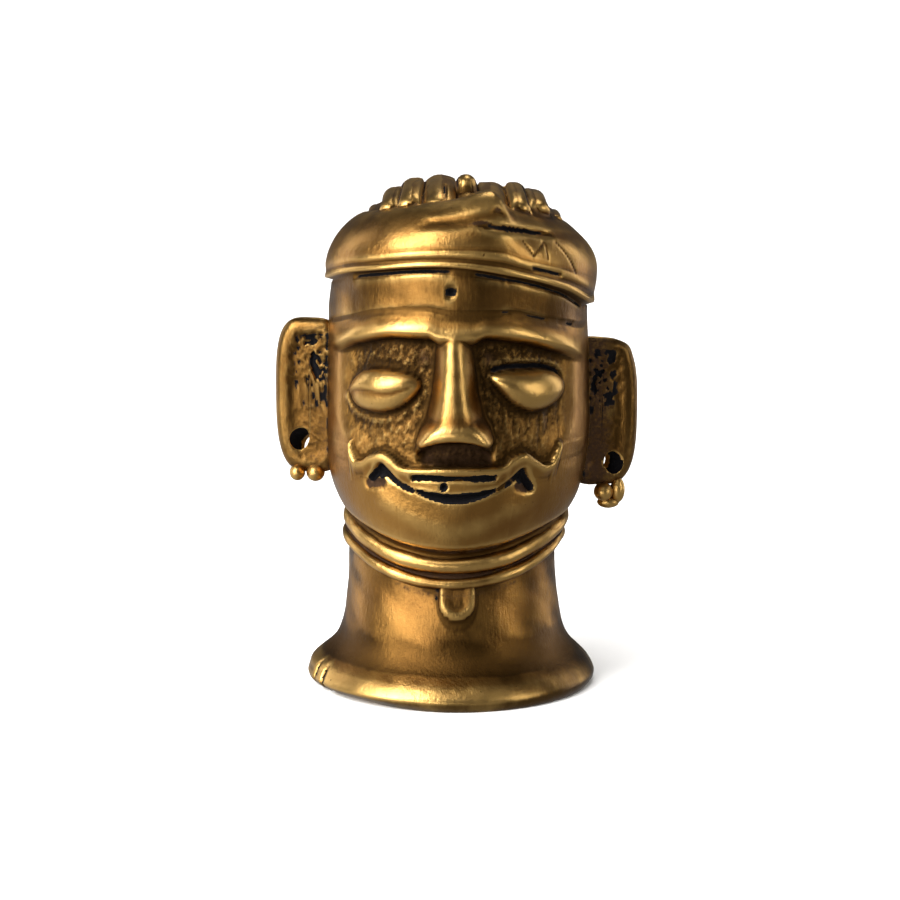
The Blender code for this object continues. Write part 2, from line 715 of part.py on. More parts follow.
def ear_rows(ear, count, rim_rings=8, face_rings=1):
    """The ear as rings, from the middle of its front over its round edge to its back."""
    wide, tall = ear["outer"] - ear["inner"], ear["top"] - ear["bottom"]
    rim = 2.2 * EAR_RIM_WIDTH * np.linspace(1, 0, rim_rings) ** 1.6
    face = np.linspace(wide / 2 - 0.25, rim[0], face_rings + 1)[:-1]
    front = [(inset, -ear_front(inset)) for inset in np.concatenate([face, rim])]
    back = [(EAR_EDGE * share, ear_front(EAR_EDGE * share)) for share in (0.1, 0.35, 1.0)]
    rows = []
    for inset, y in front + back:
        x, z = ear_outline(wide, tall, ear, inset, count)
        rows.append(np.stack([x, np.full(count, y), z], -1))
    return np.array(rows)


def place_on_ear(points, ear):
    """Moves points from the ear's own middle to its place on the head."""
    yaw = math.radians(EAR_YAW)
    x = points[..., 0] + (ear["outer"] - ear["inner"]) / 2
    y = points[..., 1]
    z = points[..., 2] + (ear["top"] + ear["bottom"]) / 2
    out = ear["inner"] + x * math.cos(yaw) - y * math.sin(yaw)
    deep = EAR_DEPTH + x * math.sin(yaw) + y * math.cos(yaw)
    return np.stack([ear["side"] * out, deep, z * UNIT], -1)


def on_ear(ear, place):
    """X, Y and Z of a place given as (in from the ear's outer edge, depth, up from its foot)."""
    inset, depth, up = place
    return ear["side"] * (ear["outer"] - inset), depth, ear["bottom"] + up


def mesh_from_rows(name, rows, pole):
    """A closed mesh: rows of points joined by quads, a flat end below and a pole above."""
    mesh = bpy.data.meshes.new(name)
    count, around_it = rows.shape[:2]
    index = np.arange(count * around_it).reshape(count, around_it)
    beside = np.roll(index, -1, axis=1)
    quads = np.stack([index[:-1], beside[:-1], beside[1:], index[1:]], -1).reshape(-1, 4)
    tip = count * around_it
    faces = quads.tolist()
    faces += [[a, b, tip] for a, b in zip(index[-1].tolist(), beside[-1].tolist())]
    faces.append(index[0][::-1].tolist())
    points = np.vstack([rows.reshape(-1, 3), pole]) * MM
    mesh.from_pydata(points.tolist(), [], faces)
    return mesh


def add_object(name, mesh):
    thing = bpy.data.objects.new(name, mesh)
    bpy.context.scene.collection.objects.link(thing)
    return thing


def helper(name, mesh):
    """An object that only cuts or joins, and isn't a piece itself."""
    thing = add_object(name, mesh)
    thing.hide_render = True
    thing.display_type = "WIRE"
    return thing


def closed_mesh(name, rows):
    """A closed mesh from rings of points, with a flat end at each side."""
    count, around_it = rows.shape[:2]
    index = np.arange(count * around_it).reshape(count, around_it)
    beside = np.roll(index, -1, axis=1)
    quads = np.stack([index[:-1], beside[:-1], beside[1:], index[1:]], -1).reshape(-1, 4)
    faces = quads.tolist() + [index[0][::-1].tolist(), index[-1].tolist()]
    mesh = bpy.data.meshes.new(name)
    mesh.from_pydata((rows.reshape(-1, 3) * MM).tolist(), [], faces)
    return outward(mesh)


def outward(mesh):
    """Turns the faces of a closed mesh outwards."""
    work = bmesh.new()
    work.from_mesh(mesh)
    bmesh.ops.recalc_face_normals(work, faces=work.faces)
    work.to_mesh(mesh)
    work.free()
    return mesh


def drop_mesh(name, centre, half):
    """An ear drop: a ball or a bean of half sizes half, about centre."""
    polar = np.linspace(0.3, math.pi - 0.3, 6)[:, None]
    angle = np.linspace(0, 2 * math.pi, 11, endpoint=False)[None, :]
    rows = np.stack(
        [
            centre[0] + half[0] * np.sin(polar) * np.cos(angle),
            centre[1] + half[1] * np.sin(polar) * np.sin(angle),
            (centre[2] + half[2] * np.cos(polar)) * UNIT + 0 * angle,
        ],
        -1,
    )
    return closed_mesh(name, rows)


def pin_mesh(name, ear):
    """The pin that leaves the hole through the ear's lobe."""
    angle = np.linspace(0, 2 * math.pi, 20, endpoint=False)
    inset, up = ear["piercing"]
    inward, down = ear["slant"]
    rows = []
    for away in (-3.5, 5.0):
        x, y, z = on_ear(ear, (inset - inward * away, EAR_DEPTH + 1.0 + away, up + down * away))
        x, z = x + PIERCING_RADIUS * np.cos(angle), z + PIERCING_RADIUS * np.sin(angle)
        rows.append(np.stack([x, np.full(20, y), z * UNIT], -1))
    return closed_mesh(name, np.array(rows))


# The core inside: its plate below the foot, the heights of its rings, the shoulder from which it
# closes in a dome, the small flat on top, and what it stays clear of the wall there.
CORE_PLATE = 6.0
CORE_HEIGHTS = [4.5, 6.5, 8.5, 11, 15, 22, 38, 41, 45, 50, 57, 68, 76, 80]
CORE_SHOULDER = 84.0
CORE_TIP = 1.0
CORE_SLACK = 0.5


def core_radius(z):
    """The core's radius at a height: the thinnest place of the skin less the wall."""
    turn = np.linspace(-180, 180, 73)
    skin = skin_radius(turn, np.full(73, z)) - sockets(turn, np.full(73, z))
    return float(skin.min()) - WALL


def core_mesh(name, count):
    """The core: it fills the inside, comes out at the foot and ends in a plate on the ground."""
    crown = hair_height(np.zeros(1), np.zeros(1))[0] - WALL - CORE_SLACK
    profile = [(1.5 * FOOT_RADIUS, -CORE_PLATE), (1.5 * FOOT_RADIUS, 0.0)]
    profile.append((neck_radius(0.0) - FOOT_BAND, 0.0))
    profile += [(core_radius(z), z) for z in CORE_HEIGHTS]
    wide = core_radius(CORE_SHOULDER)
    for angle in np.linspace(0, 80, 7):
        lift = (crown - CORE_SHOULDER) * math.sin(math.radians(angle))
        profile.append((wide * math.cos(math.radians(angle)), CORE_SHOULDER + lift))
    profile.append((CORE_TIP, crown))
    angle = np.linspace(0, 2 * math.pi, count, endpoint=False)
    rows = []
    for radius, z in profile:
        lean = through(LEAN, np.array([z]))[0]
        x, y = lean + radius * np.cos(angle), radius * np.sin(angle)
        rows.append(np.stack([x, y, np.full(count, z * UNIT)], -1))
    return closed_mesh(name, np.array(rows))


def brass():
    material = bpy.data.materials.new("aged_brass")
    material.use_nodes = True
    shader = material.node_tree.nodes["Principled BSDF"]
    shader.inputs["Base Color"].default_value = (0.46, 0.27, 0.09, 1)
    shader.inputs["Metallic"].default_value = 1.0
    shader.inputs["Roughness"].default_value = 0.38
    return material


def combine(thing, name, other, operation):
    cut = thing.modifiers.new(name, "BOOLEAN")
    cut.operation = operation
    cut.solver = "EXACT"
    cut.object = other


def middle_of(meshes):
    """The middle of the box round these meshes, in X and Y."""
    points = np.array([vertex.co[:] for mesh in meshes for vertex in mesh.vertices])
    return (points.min(0)[:2] + points.max(0)[:2]) / 2


def build():
    for thing in list(bpy.data.objects):
        bpy.data.objects.remove(thing)

    points, pole = body_points(COLUMNS, 1.0)
    body = add_object("mukhalinga", mesh_from_rows("mukhalinga", points, pole))
    body.data.materials.append(brass())

    joined, cutters = [], []
    for ear in EARS:
        name = ear["name"]
        plate = closed_mesh(f"{name}_plate", place_on_ear(ear_rows(ear, 28), ear))
        joined.append(helper(f"{name}_plate", plate))
        for number, (place, half) in enumerate(ear["drops"], 1):
            drop = drop_mesh(f"{name}_drop_{number}", on_ear(ear, place), half)
            joined.append(helper(f"{name}_drop_{number}", drop))
        cutters.append(helper(f"{name}_piercing", pin_mesh(f"{name}_piercing", ear)))
    cutters.append(helper("core", core_mesh("core", 28)))

    shift = middle_of([body.data] + [thing.data for thing in joined])
    for thing in [body] + joined + cutters:
        for vertex in thing.data.vertices:
            vertex.co.x -= shift[0]
            vertex.co.y -= shift[1]

    thin = body.modifiers.new("thinned", "DECIMATE")
    thin.ratio = BODY_TRIANGLES / (2 * len(body.data.polygons))
    for thing in joined:
        combine(body, thing.name, thing, "UNION")
    for thing in cutters:
        combine(body, thing.name, thing, "DIFFERENCE")


build()
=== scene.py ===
"""The looks of the mukhalinga: a small hollow brass head, cast in one piece and aged by handling.

The casting's form is drawn by the same functions as its solid, on a finer net. On it comes what
the mould and the tools left: rough ground round the eyes, pits and cuts. The brass is polished on
the high places and dark in the recesses.
Sizes are in millimetres, and angles in degrees round the head: 0 is the face's front, which looks
along -Y, and 90 is the side at +X. The finished mesh is scaled to metres.
"""

import math

import bmesh
import bpy
import numpy as np
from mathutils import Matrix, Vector, noise


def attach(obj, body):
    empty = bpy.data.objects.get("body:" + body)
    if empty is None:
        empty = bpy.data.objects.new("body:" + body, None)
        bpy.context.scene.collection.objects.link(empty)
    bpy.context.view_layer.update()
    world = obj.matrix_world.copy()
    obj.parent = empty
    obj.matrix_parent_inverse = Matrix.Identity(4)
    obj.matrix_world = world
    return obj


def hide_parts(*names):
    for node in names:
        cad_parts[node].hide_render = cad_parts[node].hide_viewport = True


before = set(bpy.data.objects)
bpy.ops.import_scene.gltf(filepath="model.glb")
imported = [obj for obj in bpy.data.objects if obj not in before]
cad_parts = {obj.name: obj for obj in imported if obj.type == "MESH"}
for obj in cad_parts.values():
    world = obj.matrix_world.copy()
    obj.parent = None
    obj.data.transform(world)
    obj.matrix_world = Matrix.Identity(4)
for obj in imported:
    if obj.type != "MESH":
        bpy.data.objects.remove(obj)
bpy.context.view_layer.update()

MM = 0.001

# The casting as a whole. The carving keeps its places as shares of the height.
HEIGHT = 110.0
FOOT_RADIUS = 31.0
NECK_RADIUS = 22.2
HEAD_RADIUS = 28.0
TURBAN_RADIUS = 28.6
LIP_RADIUS = 21.2
WALL = 3.0
FOOT_BAND = 2.6

# What stands out of the skin, as the height of each form above it or its depth below it.
BROW_RISE = 1.7
SOCKET_DEPTH = 1.8
EYE_RISE = 3.7
NOSE_RISE = 6.4
MOUSTACHE_RISE = 0.9
MOUSTACHE_WIDTH = 2.1
MOUTH_DEPTH = 1.2
UPPER_CORD_RADIUS = 1.75
LOWER_CORD_RADIUS = 1.15
CORD_BULGE = 1.2
PENDANT_WIDTH = 8.2
PENDANT_RISE = 1.3
HEM_RISE = 0.5
FOLD_RISE = 0.85
LOCK_RISE = 3.1
KNOB_RADIUS = 2.2
UNEVENNESS = 0.22

# The ears. Each is a flat plate with a round edge and a low rim, pierced through its lobe.
EAR_THICKNESS = 3.4
EAR_EDGE = 1.9
EAR_RIM = 0.25
EAR_DISH = 0.3
EAR_RIM_WIDTH = 2.4
EAR_YAW = 14.0
EAR_DEPTH = -3.0
PIERCING_RADIUS = 2.45

# Places up and down the casting are given in shares of its height: the whole has this many.
SHARES = 110.0
UNIT = HEIGHT / SHARES
ARC = math.radians(HEAD_RADIUS)


def through(stations, x):
    """The smooth curve through the (place, value) stations that never overshoots them."""
    places, values = (np.array(column, float) for column in zip(*stations))
    x = np.clip(x, places[0], places[-1])
    gaps = np.diff(places)
    rises = np.diff(values) / gaps
    before, after = rises[:-1], rises[1:]
    same_way = before * after > 0
    total = np.where(same_way, before + after, 1.0)
    inner = np.where(same_way, 2 * before * after / total, 0.0)
    slopes = np.concatenate([rises[:1], inner, rises[-1:]])
    i = np.clip(np.searchsorted(places, x, side="right") - 1, 0, len(gaps) - 1)
    gap = gaps[i]
    u = (x - places[i]) / gap
    start = values[i] * (1 + 2 * u) * (1 - u) ** 2 + slopes[i] * gap * u * (1 - u) ** 2
    end = values[i + 1] * u * u * (3 - 2 * u) + slopes[i + 1] * gap * u * u * (u - 1)
    return start + end


def around(stations, turn):
    """The same curve through stations at angles, closed round the head."""
    first, last = stations[0], stations[-1]
    closed = [(last[0] - 360, last[1])] + stations + [(first[0] + 360, first[1])]
    return through(closed, turn)


def step(x, low, high):
    """0 below low and 1 above high, with a smooth rise between them."""
    u = np.clip((x - low) / (high - low), 0, 1)
    return u * u * (3 - 2 * u)


def between(x, low, high, soft):
    """1 from low to high, fading over soft on both sides."""
    return step(x, low - soft, low) * (1 - step(x, high, high + soft))


def hill(distance, reach):
    """1 on the line and 0 at reach, round at the top and soft at the foot."""
    u = np.clip(np.abs(distance) / reach, 0, 1)
    return 0.5 * (1 + np.cos(math.pi * u))


def roll(distance, radius):
    """How far a round cord of this radius stands above its centre line."""
    return np.sqrt(np.clip(radius**2 - distance**2, 0, None))


def join(a, b, soft):
    """The higher of two surfaces, with a fillet where they meet."""
    return 0.5 * (a + b + np.sqrt((a - b) ** 2 + soft**2))


# Lines that run round the head, as stations of (angle, height).
HEM_LINE = [
    (-135, 85.3),
    (-90, 86.8),
    (-47, 90.5),
    (-8, 92.3),
    (25, 89.8),
    (46, 87.0),
    (75, 82.3),
    (110, 81.1),
    (170, 83.8),
]
TURBAN_TOP_LINE = [
    (-150, 99.5),
    (-90, 101.0),
    (-60, 102.2),
    (-35, 103.7),
    (-17, 104.7),
    (-2, 105.6),
    (9, 106.9),
    (16, 107.3),
    (20, 106.4),
    (25, 104.4),
    (32, 102.9),
    (45, 101.8),
    (62, 100.8),
    (90, 99.6),
    (140, 98.8),
]
BROW_TOP_LINE = [
    (-150, 79.0),
    (-79, 78.8),
    (-56, 80.6),
    (-39, 82.5),
    (-15, 83.7),
    (-2, 83.0),
    (20, 82.9),
    (39, 81.0),
    (72, 78.4),
    (140, 78.4),
]
BROW_EDGE_LINE = [
    (-150, 74.0),
    (-69, 73.3),
    (-48, 76.0),
    (-26, 77.8),
    (-13, 77.8),
    (-7, 76.6),
    (5, 76.6),
    (12, 77.8),
    (27, 76.8),
    (49, 74.0),
    (73, 70.6),
    (140, 73.0),
]
MOUSTACHE_LINE = [
    (-120, 53.4),
    (-53.5, 53.4),
    (-51.8, 51.8),
    (-48.5, 50.3),
    (-44.5, 50.6),
    (-39.5, 51.9),
    (-34.0, 52.5),
    (-29.8, 51.8),
    (-24.5, 50.3),
    (-19.0, 50.0),
    (-1.0, 50.4),
    (17.0, 50.2),
    (20.5, 50.6),
    (24.0, 51.9),
    (28.8, 52.5),
    (34.0, 51.4),
    (41.0, 49.9),
    (44.5, 50.2),
    (47.0, 51.8),
    (49.6, 53.9),
    (120, 54.0),
]
# The dark grooves under the moustache and the soft V of the chin, as (angle, height) corners.
LEFT_PEAK = [(-39.6, 48.0), (-34.3, 50.5), (-30.5, 49.2), (-26.5, 47.9), (-19.5, 46.1)]
RIGHT_PEAK = [(34.6, 46.2), (31.6, 48.0), (29.0, 49.6), (25.8, 48.6), (17.6, 46.2)]
LEFT_PEAK_FOOT = [(-40.5, 46.8), (-34.0, 47.4)]
RIGHT_PEAK_FOOT = [(28.0, 46.9), (31.5, 46.2)]
CHIN_LINE = [(-34.0, 43.4), (-18.0, 40.3), (-6.4, 38.1), (1.0, 37.4), (9.2, 38.4), (34.0, 43.5)]
# The flecks of dirt left of the moustache's left peak, also as corners.
LEFT_SMEAR = [(-50.0, 45.6), (-43.0, 46.6), (-38.0, 48.6)]
# The height of the straight slit, and the places of the hole in the lip and of the third eye.
STRAIGHT_SLIT = 48.95
LIP_HOLE = (-5.4, 47.15)
THIRD_EYE = (-4.6, 87.4)
# Each ear: its side, how far its root and its outer edge are from the head's middle, its top and
# bottom, and how much its foot narrows and its top slopes. Then, from its outer edge and its foot,
# where its hole is, how far that drifts outward and up with each millimetre of depth, and where
# each drop hangs, with its half sizes.
EARS = [
    {
        "name": "left_ear",
        "side": -1,
        "inner": HEAD_RADIUS - 6.0,
        "outer": HEAD_RADIUS + 9.7,
        "top": 78.9,
        "bottom": 45.5,
        "taper": 0.06,
        "slope": 0.0,
        "piercing": (5.6, 7.4),
        "slant": (-1.0, -0.8),
        "drops": [((5.0, -1.6, 0.0), (1.7, 2.1, 1.8)), ((8.9, -2.0, 0.1), (2.0, 2.4, 2.0))],
    },
    {
        "name": "right_ear",
        "side": 1,
        "inner": HEAD_RADIUS - 4.0,
        "outer": HEAD_RADIUS + 12.6,
        "top": 75.6,
        "bottom": 42.7,
        "taper": 0.05,
        "slope": 0.11,
        "piercing": (5.5, 4.9),
        "slant": (-1.25, 0.1),
        "drops": [
            ((7.7, -1.8, -1.4), (2.1, 2.4, 2.0)),
            ((4.6, -0.8, -1.2), (1.6, 1.8, 2.8)),
            ((6.6, -0.6, -3.9), (2.4, 1.7, 1.35)),
        ],
    },
]
# How far the middle of the casting leans toward +X on its way up.
LEAN = [(0, 0.25), (27, 0.5), (45, 1.2), (60, 1.85), (80, 1.7), (88, 2.4), (110, 2.3)]


def facing(turn):
    """1 at the front, 0 at the sides and the back."""
    return np.clip(np.cos(np.radians(turn)), 0, None)


def lower_cord_line(turn):
    back = np.clip(-np.cos(np.radians(turn)), 0, None)
    return 32.6 - 7.0 * facing(turn) ** 1.6 + 2.2 * back


def upper_cord_line(turn):
    back = np.clip(-np.cos(np.radians(turn)), 0, None)
    return 36.3 - 6.9 * facing(turn) ** 1.5 + 2.2 * back


def jaw_line(turn):
    back = np.clip(-np.cos(np.radians(turn)), 0, None)
    return 39.4 - 5.9 * facing(turn) ** 2 + 1.6 * back


def neck_radius(z):
    """The foot's rim, the flare above it and the neck."""
    rim, neck = FOOT_RADIUS, NECK_RADIUS
    flare = rim - neck
    stations = [
        (-3.0, rim - 2.0),
        (0.0, rim - 1.0),
        (1.2, rim - 0.15),
        (2.2, rim),
        (3.2, rim - 0.45),
        (4.6, neck + 0.84 * flare),
        (6.2, neck + 0.66 * flare),
        (8.0, neck + 0.45 * flare),
        (10.1, neck + 0.29 * flare),
        (13.0, neck + 0.17 * flare),
        (17.0, neck + 0.09 * flare),
        (26.0, neck),
        (60.0, neck),
    ]
    return through(stations, z)


def skin_radius(turn, z):
    """The head without its features: jaw, cheeks and brow in one smooth skin over the neck."""
    jaw = jaw_line(turn)
    jaw_radius = NECK_RADIUS + 1.7 + 0.9 * facing(turn)
    full = [(50, HEAD_RADIUS - 0.3), (57, HEAD_RADIUS), (63, HEAD_RADIUS)]
    full += [(74, HEAD_RADIUS - 0.3), (81, HEAD_RADIUS - 0.6), (95, HEAD_RADIUS - 0.5)]
    cheek = through(full, z)
    u = np.clip((z - jaw) / (50.5 - jaw), 0, 1)
    swell = (1 - (1 - u) ** 2) ** (1 - 0.22 * facing(turn))
    above = jaw_radius + (cheek - jaw_radius) * swell
    below = jaw_radius - 1.9 * (jaw - z)
    head = np.where(z > jaw, above, below)
    return join(neck_radius(z), head, 0.7)


def cord_lines(turn):
    """Each cord's height, its radius and how deep its middle lies in the neck."""
    return (
        (upper_cord_line(turn), UPPER_CORD_RADIUS, 0.35),
        (lower_cord_line(turn), LOWER_CORD_RADIUS, -0.25),
    )


def with_cords(turn, z, radius):
    """Two cords round the neck and the pendant that hangs from them."""
    neck = neck_radius(z)
    for line, cord, sunk in cord_lines(turn):
        slope = 0.75 + 0.25 * np.abs(np.cos(np.radians(turn))) ** 0.5
        off = (z - line) * slope
        centre = neck - sunk
        cord_top = np.where(np.abs(off) < cord, centre + roll(off, cord), 0.0)
        radius = join(radius, cord_top, 0.18)
    across = (turn - 2.7) * math.radians(NECK_RADIUS + 1)
    half = PENDANT_WIDTH / 2
    down = np.clip(21.8 - z, 0, None)
    edge = np.hypot(across, down) - half
    tab = PENDANT_RISE * (1 - step(edge, -0.8, 0.25)) * step(26.2 - z, 0, 0.6)
    hollow = 0.25 * (1 - step(np.hypot(across, down * 0.8), 0.8, 2.8))
    return np.maximum(radius, neck + tab - hollow * (tab > 0.3))


def near(turn, z, corners):
    """The distance over the skin from each point to the line through these corners."""
    best = np.full(np.broadcast(turn, z).shape, 99.0)
    for (turn_a, z_a), (turn_b, z_b) in zip(corners, corners[1:]):
        along, up = (turn_b - turn_a) * ARC, z_b - z_a
        across, rise = (turn - turn_a) * ARC, z - z_a
        share = np.clip((across * along + rise * up) / (along**2 + up**2), 0, 1)
        off = np.hypot(across - share * along, rise - share * up)
        best = np.minimum(best, off)
    return best


def sockets(turn, z):
    """How deep the rough ground round the eyes and on the cheeks lies below the skin."""
    brow, lip = around(BROW_EDGE_LINE, turn), around(MOUSTACHE_LINE, turn)
    closer = 8.0 * (1 - step(z, 54, 60))
    wide = step(turn, -66 + closer, -46 + closer) * (1 - step(turn, 43 - closer, 63 - closer))
    tall = (1 - step(z, brow - 0.9, brow + 0.3)) * step(z, lip + 0.1, lip + 1.1)
    depth = 1.2 + (SOCKET_DEPTH - 1.2) * step(z, 55, 67)
    side = np.abs(turn + 0.8)
    corner = 1.1 * np.exp(-(((side - 14) / 6) ** 2) - ((z - 73.4) / 4.0) ** 2)
    return (depth + corner) * wide * tall


def brow(turn, z):
    """The brows: one roll from ear to ear, undercut above the sockets."""
    top, edge = around(BROW_TOP_LINE, turn), around(BROW_EDGE_LINE, turn)
    u = np.clip((z - edge) / (top - edge), -0.5, 1)
    rise = step(u, -0.10, 0.26) * (1 - step(u, 0.26, 1.0))
    ends = 1 - step(np.abs(turn + 1.5), 44, 80)
    crease = 0.35 * hill(z - top, 0.5) * (1 - step(np.abs(turn), 60, 85))
    return BROW_RISE * rise * ends - crease * (1 - 0.7 * hill(turn + 1, 8))


# The eyes: the side that is out, the middle, half the length and height, how far the inner and the
# outer end lift, and how pointed the inner end is.
EYES = [
    {"out": -1, "turn": -37.0, "z": 66.4, "half": (9.9, 5.0), "lift": (1.6, -1.2), "point": 0.6},
    {"out": 1, "turn": 33.6, "z": 66.4, "half": (10.0, 4.7), "lift": (3.4, 0.2), "point": 0.8},
]


def eye(turn, z, form):
    """How far one eye bulges, the height above its middle, and the share of its length."""
    half_length, half_height = form["half"]
    inner_lift, outer_lift = form["lift"]
    p = (turn - form["turn"]) * form["out"] * ARC / half_length
    inside, outside = np.clip(-p, 0, 1), np.clip(p, 0, 1)
    middle = form["z"] + inner_lift * inside**1.6 + outer_lift * outside**1.5
    ends = np.clip(1 - p * p, 0, None)
    half = half_height * np.where(p < 0, ends ** form["point"], ends**0.5) + 1e-6
    over = np.clip(1 - ((z - middle) / half) ** 2, 0, None)
    dome = np.where(ends > 0, ends**0.45 * over**0.55, 0)
    return dome, z - middle, half, p


def with_eyes(turn, z, skin, radius):
    """Both eyes, with the fold across the left one and the lid over the right one."""
    left, left_off, left_half, left_p = eye(turn, z, EYES[0])
    right, right_off, right_half, right_p = eye(turn, z, EYES[1])
    for dome in (left, right):
        bulge = skin - SOCKET_DEPTH - 0.5 + (EYE_RISE + 0.5) * dome
        radius = join(radius, bulge, 0.25)
    fold_line = left_off - 0.6 + 1.2 * left_p - 0.8 * np.sin(3.2 * left_p)
    fold = 0.5 * step(-fold_line, -0.7, 0.9) * (1 - step(-fold_line, 0.7, 4.6)) * step(left, 0.2, 0.7)
    lid_off = right_off - right_half
    span = between(right_p, -0.82, 0.75, 0.25)
    slit = 0.9 * hill(lid_off - 0.35, 0.8) * span
    lid = 0.3 * hill(lid_off - 1.5, 1.0) * span
    bag = 0.3 * hill(left_off + left_half + 1.2, 1.5) * between(left_p, -0.6, 0.95, 0.25)
    return radius - fold - slit + lid + bag


# Half the width of the nose where it meets the face, up its length.
NOSE_FOOT = [(51.5, 9.3), (54, 9.0), (58, 8.3), (62, 6.6), (70, 4.8), (79, 4.0)]


def nose(turn, z):
    """A long wedge with a flat ridge that flares into the nostrils."""
    off = (turn - through([(50, -2.2), (60, -1.6), (80, -1.7)], z)) * ARC
    ridge = through([(52, 6.4), (56.5, 6.3), (58.8, 5.0), (61.5, 2.8), (70, 1.7), (79, 1.2)], z)
    foot = through(NOSE_FOOT, z)
    height = [(52, 0.55), (56.3, 0.9), (59, 1.0), (62, 0.86), (70, 0.57), (77, 0.36), (83, 0.0)]
    rise = NOSE_RISE * through(height, z) * (z < 84)
    slope = (foot - np.abs(off)) / (foot - ridge)
    slope = 0.5 * (slope + 1 - np.sqrt((slope - 1) ** 2 + 0.15))
    under = 56.9 - 3.9 * np.clip(np.abs(off) / 9.0, 0, 1.2) ** 2.2
    cut = step(z, under - 0.8, under + 0.9)
    top = 1 - step(z, 78, 83)
    return (rise + SOCKET_DEPTH) * np.clip(slope, -1, 1) * cut - SOCKET_DEPTH - 1.5 * (1 - top)


def face_radius(turn, z):
    """The skin with the brows, eyes, nose, moustache and lips."""
    skin = skin_radius(turn, z)
    radius = skin - sockets(turn, z)
    radius = with_eyes(turn, z, skin, radius)
    radius = radius + brow(turn, z)
    nose_top = skin + nose(turn, z)
    radius = np.where(np.abs(turn) < 26, join(radius, nose_top, 0.4), radius)
    return with_mouth(turn, z, skin, radius)


def smile(turn):
    """The height of the smiling slit over the chin at each angle, and half its width."""
    middle = 44.7 + 0.0052 * (turn + 0.6) ** 2
    return middle, 0.95 * np.clip(1 - ((turn - 0.2) / 18.6) ** 2, 0.02, 1) ** 0.6


def lip_hole_distance(turn, z):
    return np.hypot((turn - LIP_HOLE[0]) * ARC, z - LIP_HOLE[1])


def third_eye_distance(turn, z):
    return np.hypot((turn - THIRD_EYE[0]) * ARC, (z - THIRD_EYE[1]) * 1.15)


def with_mouth(turn, z, skin, radius):
    """The moustache with its curled ends, the lip below it and the two dark slits."""
    line = around(MOUSTACHE_LINE, turn)
    slope = (around(MOUSTACHE_LINE, turn + 0.5) - around(MOUSTACHE_LINE, turn - 0.5)) / ARC
    off = (z - line) / np.sqrt(1 + slope**2)
    humps = hill(turn + 34, 12) + hill(turn - 29, 11)
    half = MOUSTACHE_WIDTH / 2 * (0.9 + 0.35 * humps)
    ends = between(turn, -52.6, 48.8, 2.0)
    philtrum = 1.5 * between(turn, -15, 13, 5) * between(z, 52.6, 55.4, 1.2)
    radius = radius - philtrum
    crest = 0.3 * half
    above = np.clip((off - crest) / (half - crest), 0, 1)
    below = np.clip((crest - off) / (3.0 * half), 0, 1)
    ribbon = MOUSTACHE_RISE * np.sqrt(1 - above**2) * 0.5 * (1 + np.cos(math.pi * below)) * ends
    held = (off < half) & (off > -2.7 * half)
    radius = np.where(held, join(radius, skin + ribbon, 0.12), radius)
    for peak, foot in ((LEFT_PEAK, LEFT_PEAK_FOOT), (RIGHT_PEAK, RIGHT_PEAK_FOOT)):
        apex = np.exp(-(((turn - peak[1][0]) * ARC / 3.4) ** 2))
        radius = radius - (0.3 + 1.2 * apex) * (1 - step(near(turn, z, peak), 0.1, 0.6 + 0.9 * apex))
        radius = radius - 0.35 * hill(near(turn, z, foot), 1.8)
    upper = hill(z - STRAIGHT_SLIT, 0.75) * between(turn, -19.2, 16.6, 0.9)
    middle, wide = smile(turn)
    lower = hill(z - middle, wide) * between(turn, -17.0, 17.2, 1.0)
    dot = hill(lip_hole_distance(turn, z), 0.95)
    chin = 0.22 * hill(near(turn, z, CHIN_LINE), 3.6)
    return radius - MOUTH_DEPTH * (upper + lower) - 1.1 * dot + chin


def forehead(turn, z, radius):
    """The bare band between brows and turban, with the pierced mark of the third eye."""
    return radius - 1.5 * hill(third_eye_distance(turn, z), 1.45)


def nicks(turn, z):
    """The two nicks in the foot's rim, each 1 at its middle and 0 outside it."""
    first = hill((turn + 71.5) * 0.54, 1.0) * between(z, 1.2, 4.6, 0.9)
    second = hill((turn + 63.5) * 0.54 + (z - 2.5) * 0.25, 1.1) * between(z, -3.0, 4.4, 0.8)
    return first, second


def dents(turn, z, radius):
    """The bent and nicked rim of the foot, on the side at -X."""
    lift = 1.2 * np.exp(-(((turn + 84) / 18) ** 2) - ((z - 5.6) / 1.8) ** 2)
    lift = lift - 3.0 * np.exp(-(((turn + 45) / 30) ** 2)) * (1 - step(z, -0.5, 2.4))
    first, second = nicks(turn, z)
    return radius + lift - 1.3 * first - 1.5 * second


def uneven(turn, z):
    """The slight waves that the modeller's fingers left in the wax."""
    angle = np.radians(turn)
    slow = np.sin(3 * angle + 0.21 * z) + np.sin(5 * angle - 0.13 * z + 1.0)
    quick = np.sin(9 * angle + 0.34 * z + 2.0) * np.sin(0.45 * z + 4 * angle)
    return UNEVENNESS * (slow + 0.8 * quick) / 2.8


def cord_swell(turn, z):
    """The fuller side at +X, where the cords stand further out."""
    return CORD_BULGE * between(turn, 75, 105, 40) * hill(z - 38, 10)


def body_radius(turn, z):
    """The radius of the whole body below the turban."""
    z = z / UNIT
    radius = face_radius(turn, z)
    radius = with_cords(turn, z, radius)
    radius = forehead(turn, z, radius)
    return dents(turn, z, radius) + cord_swell(turn, z) + uneven(turn, z)


def spaced(levels):
    """Rows of heights between neighbouring lines, each given as (line, rows up to it)."""
    rows = [levels[0][0]]
    for (low, _), (high, count) in zip(levels, levels[1:]):
        rows += [low + (high - low) * (k + 1) / count for k in range(count)]
    return np.array(rows)


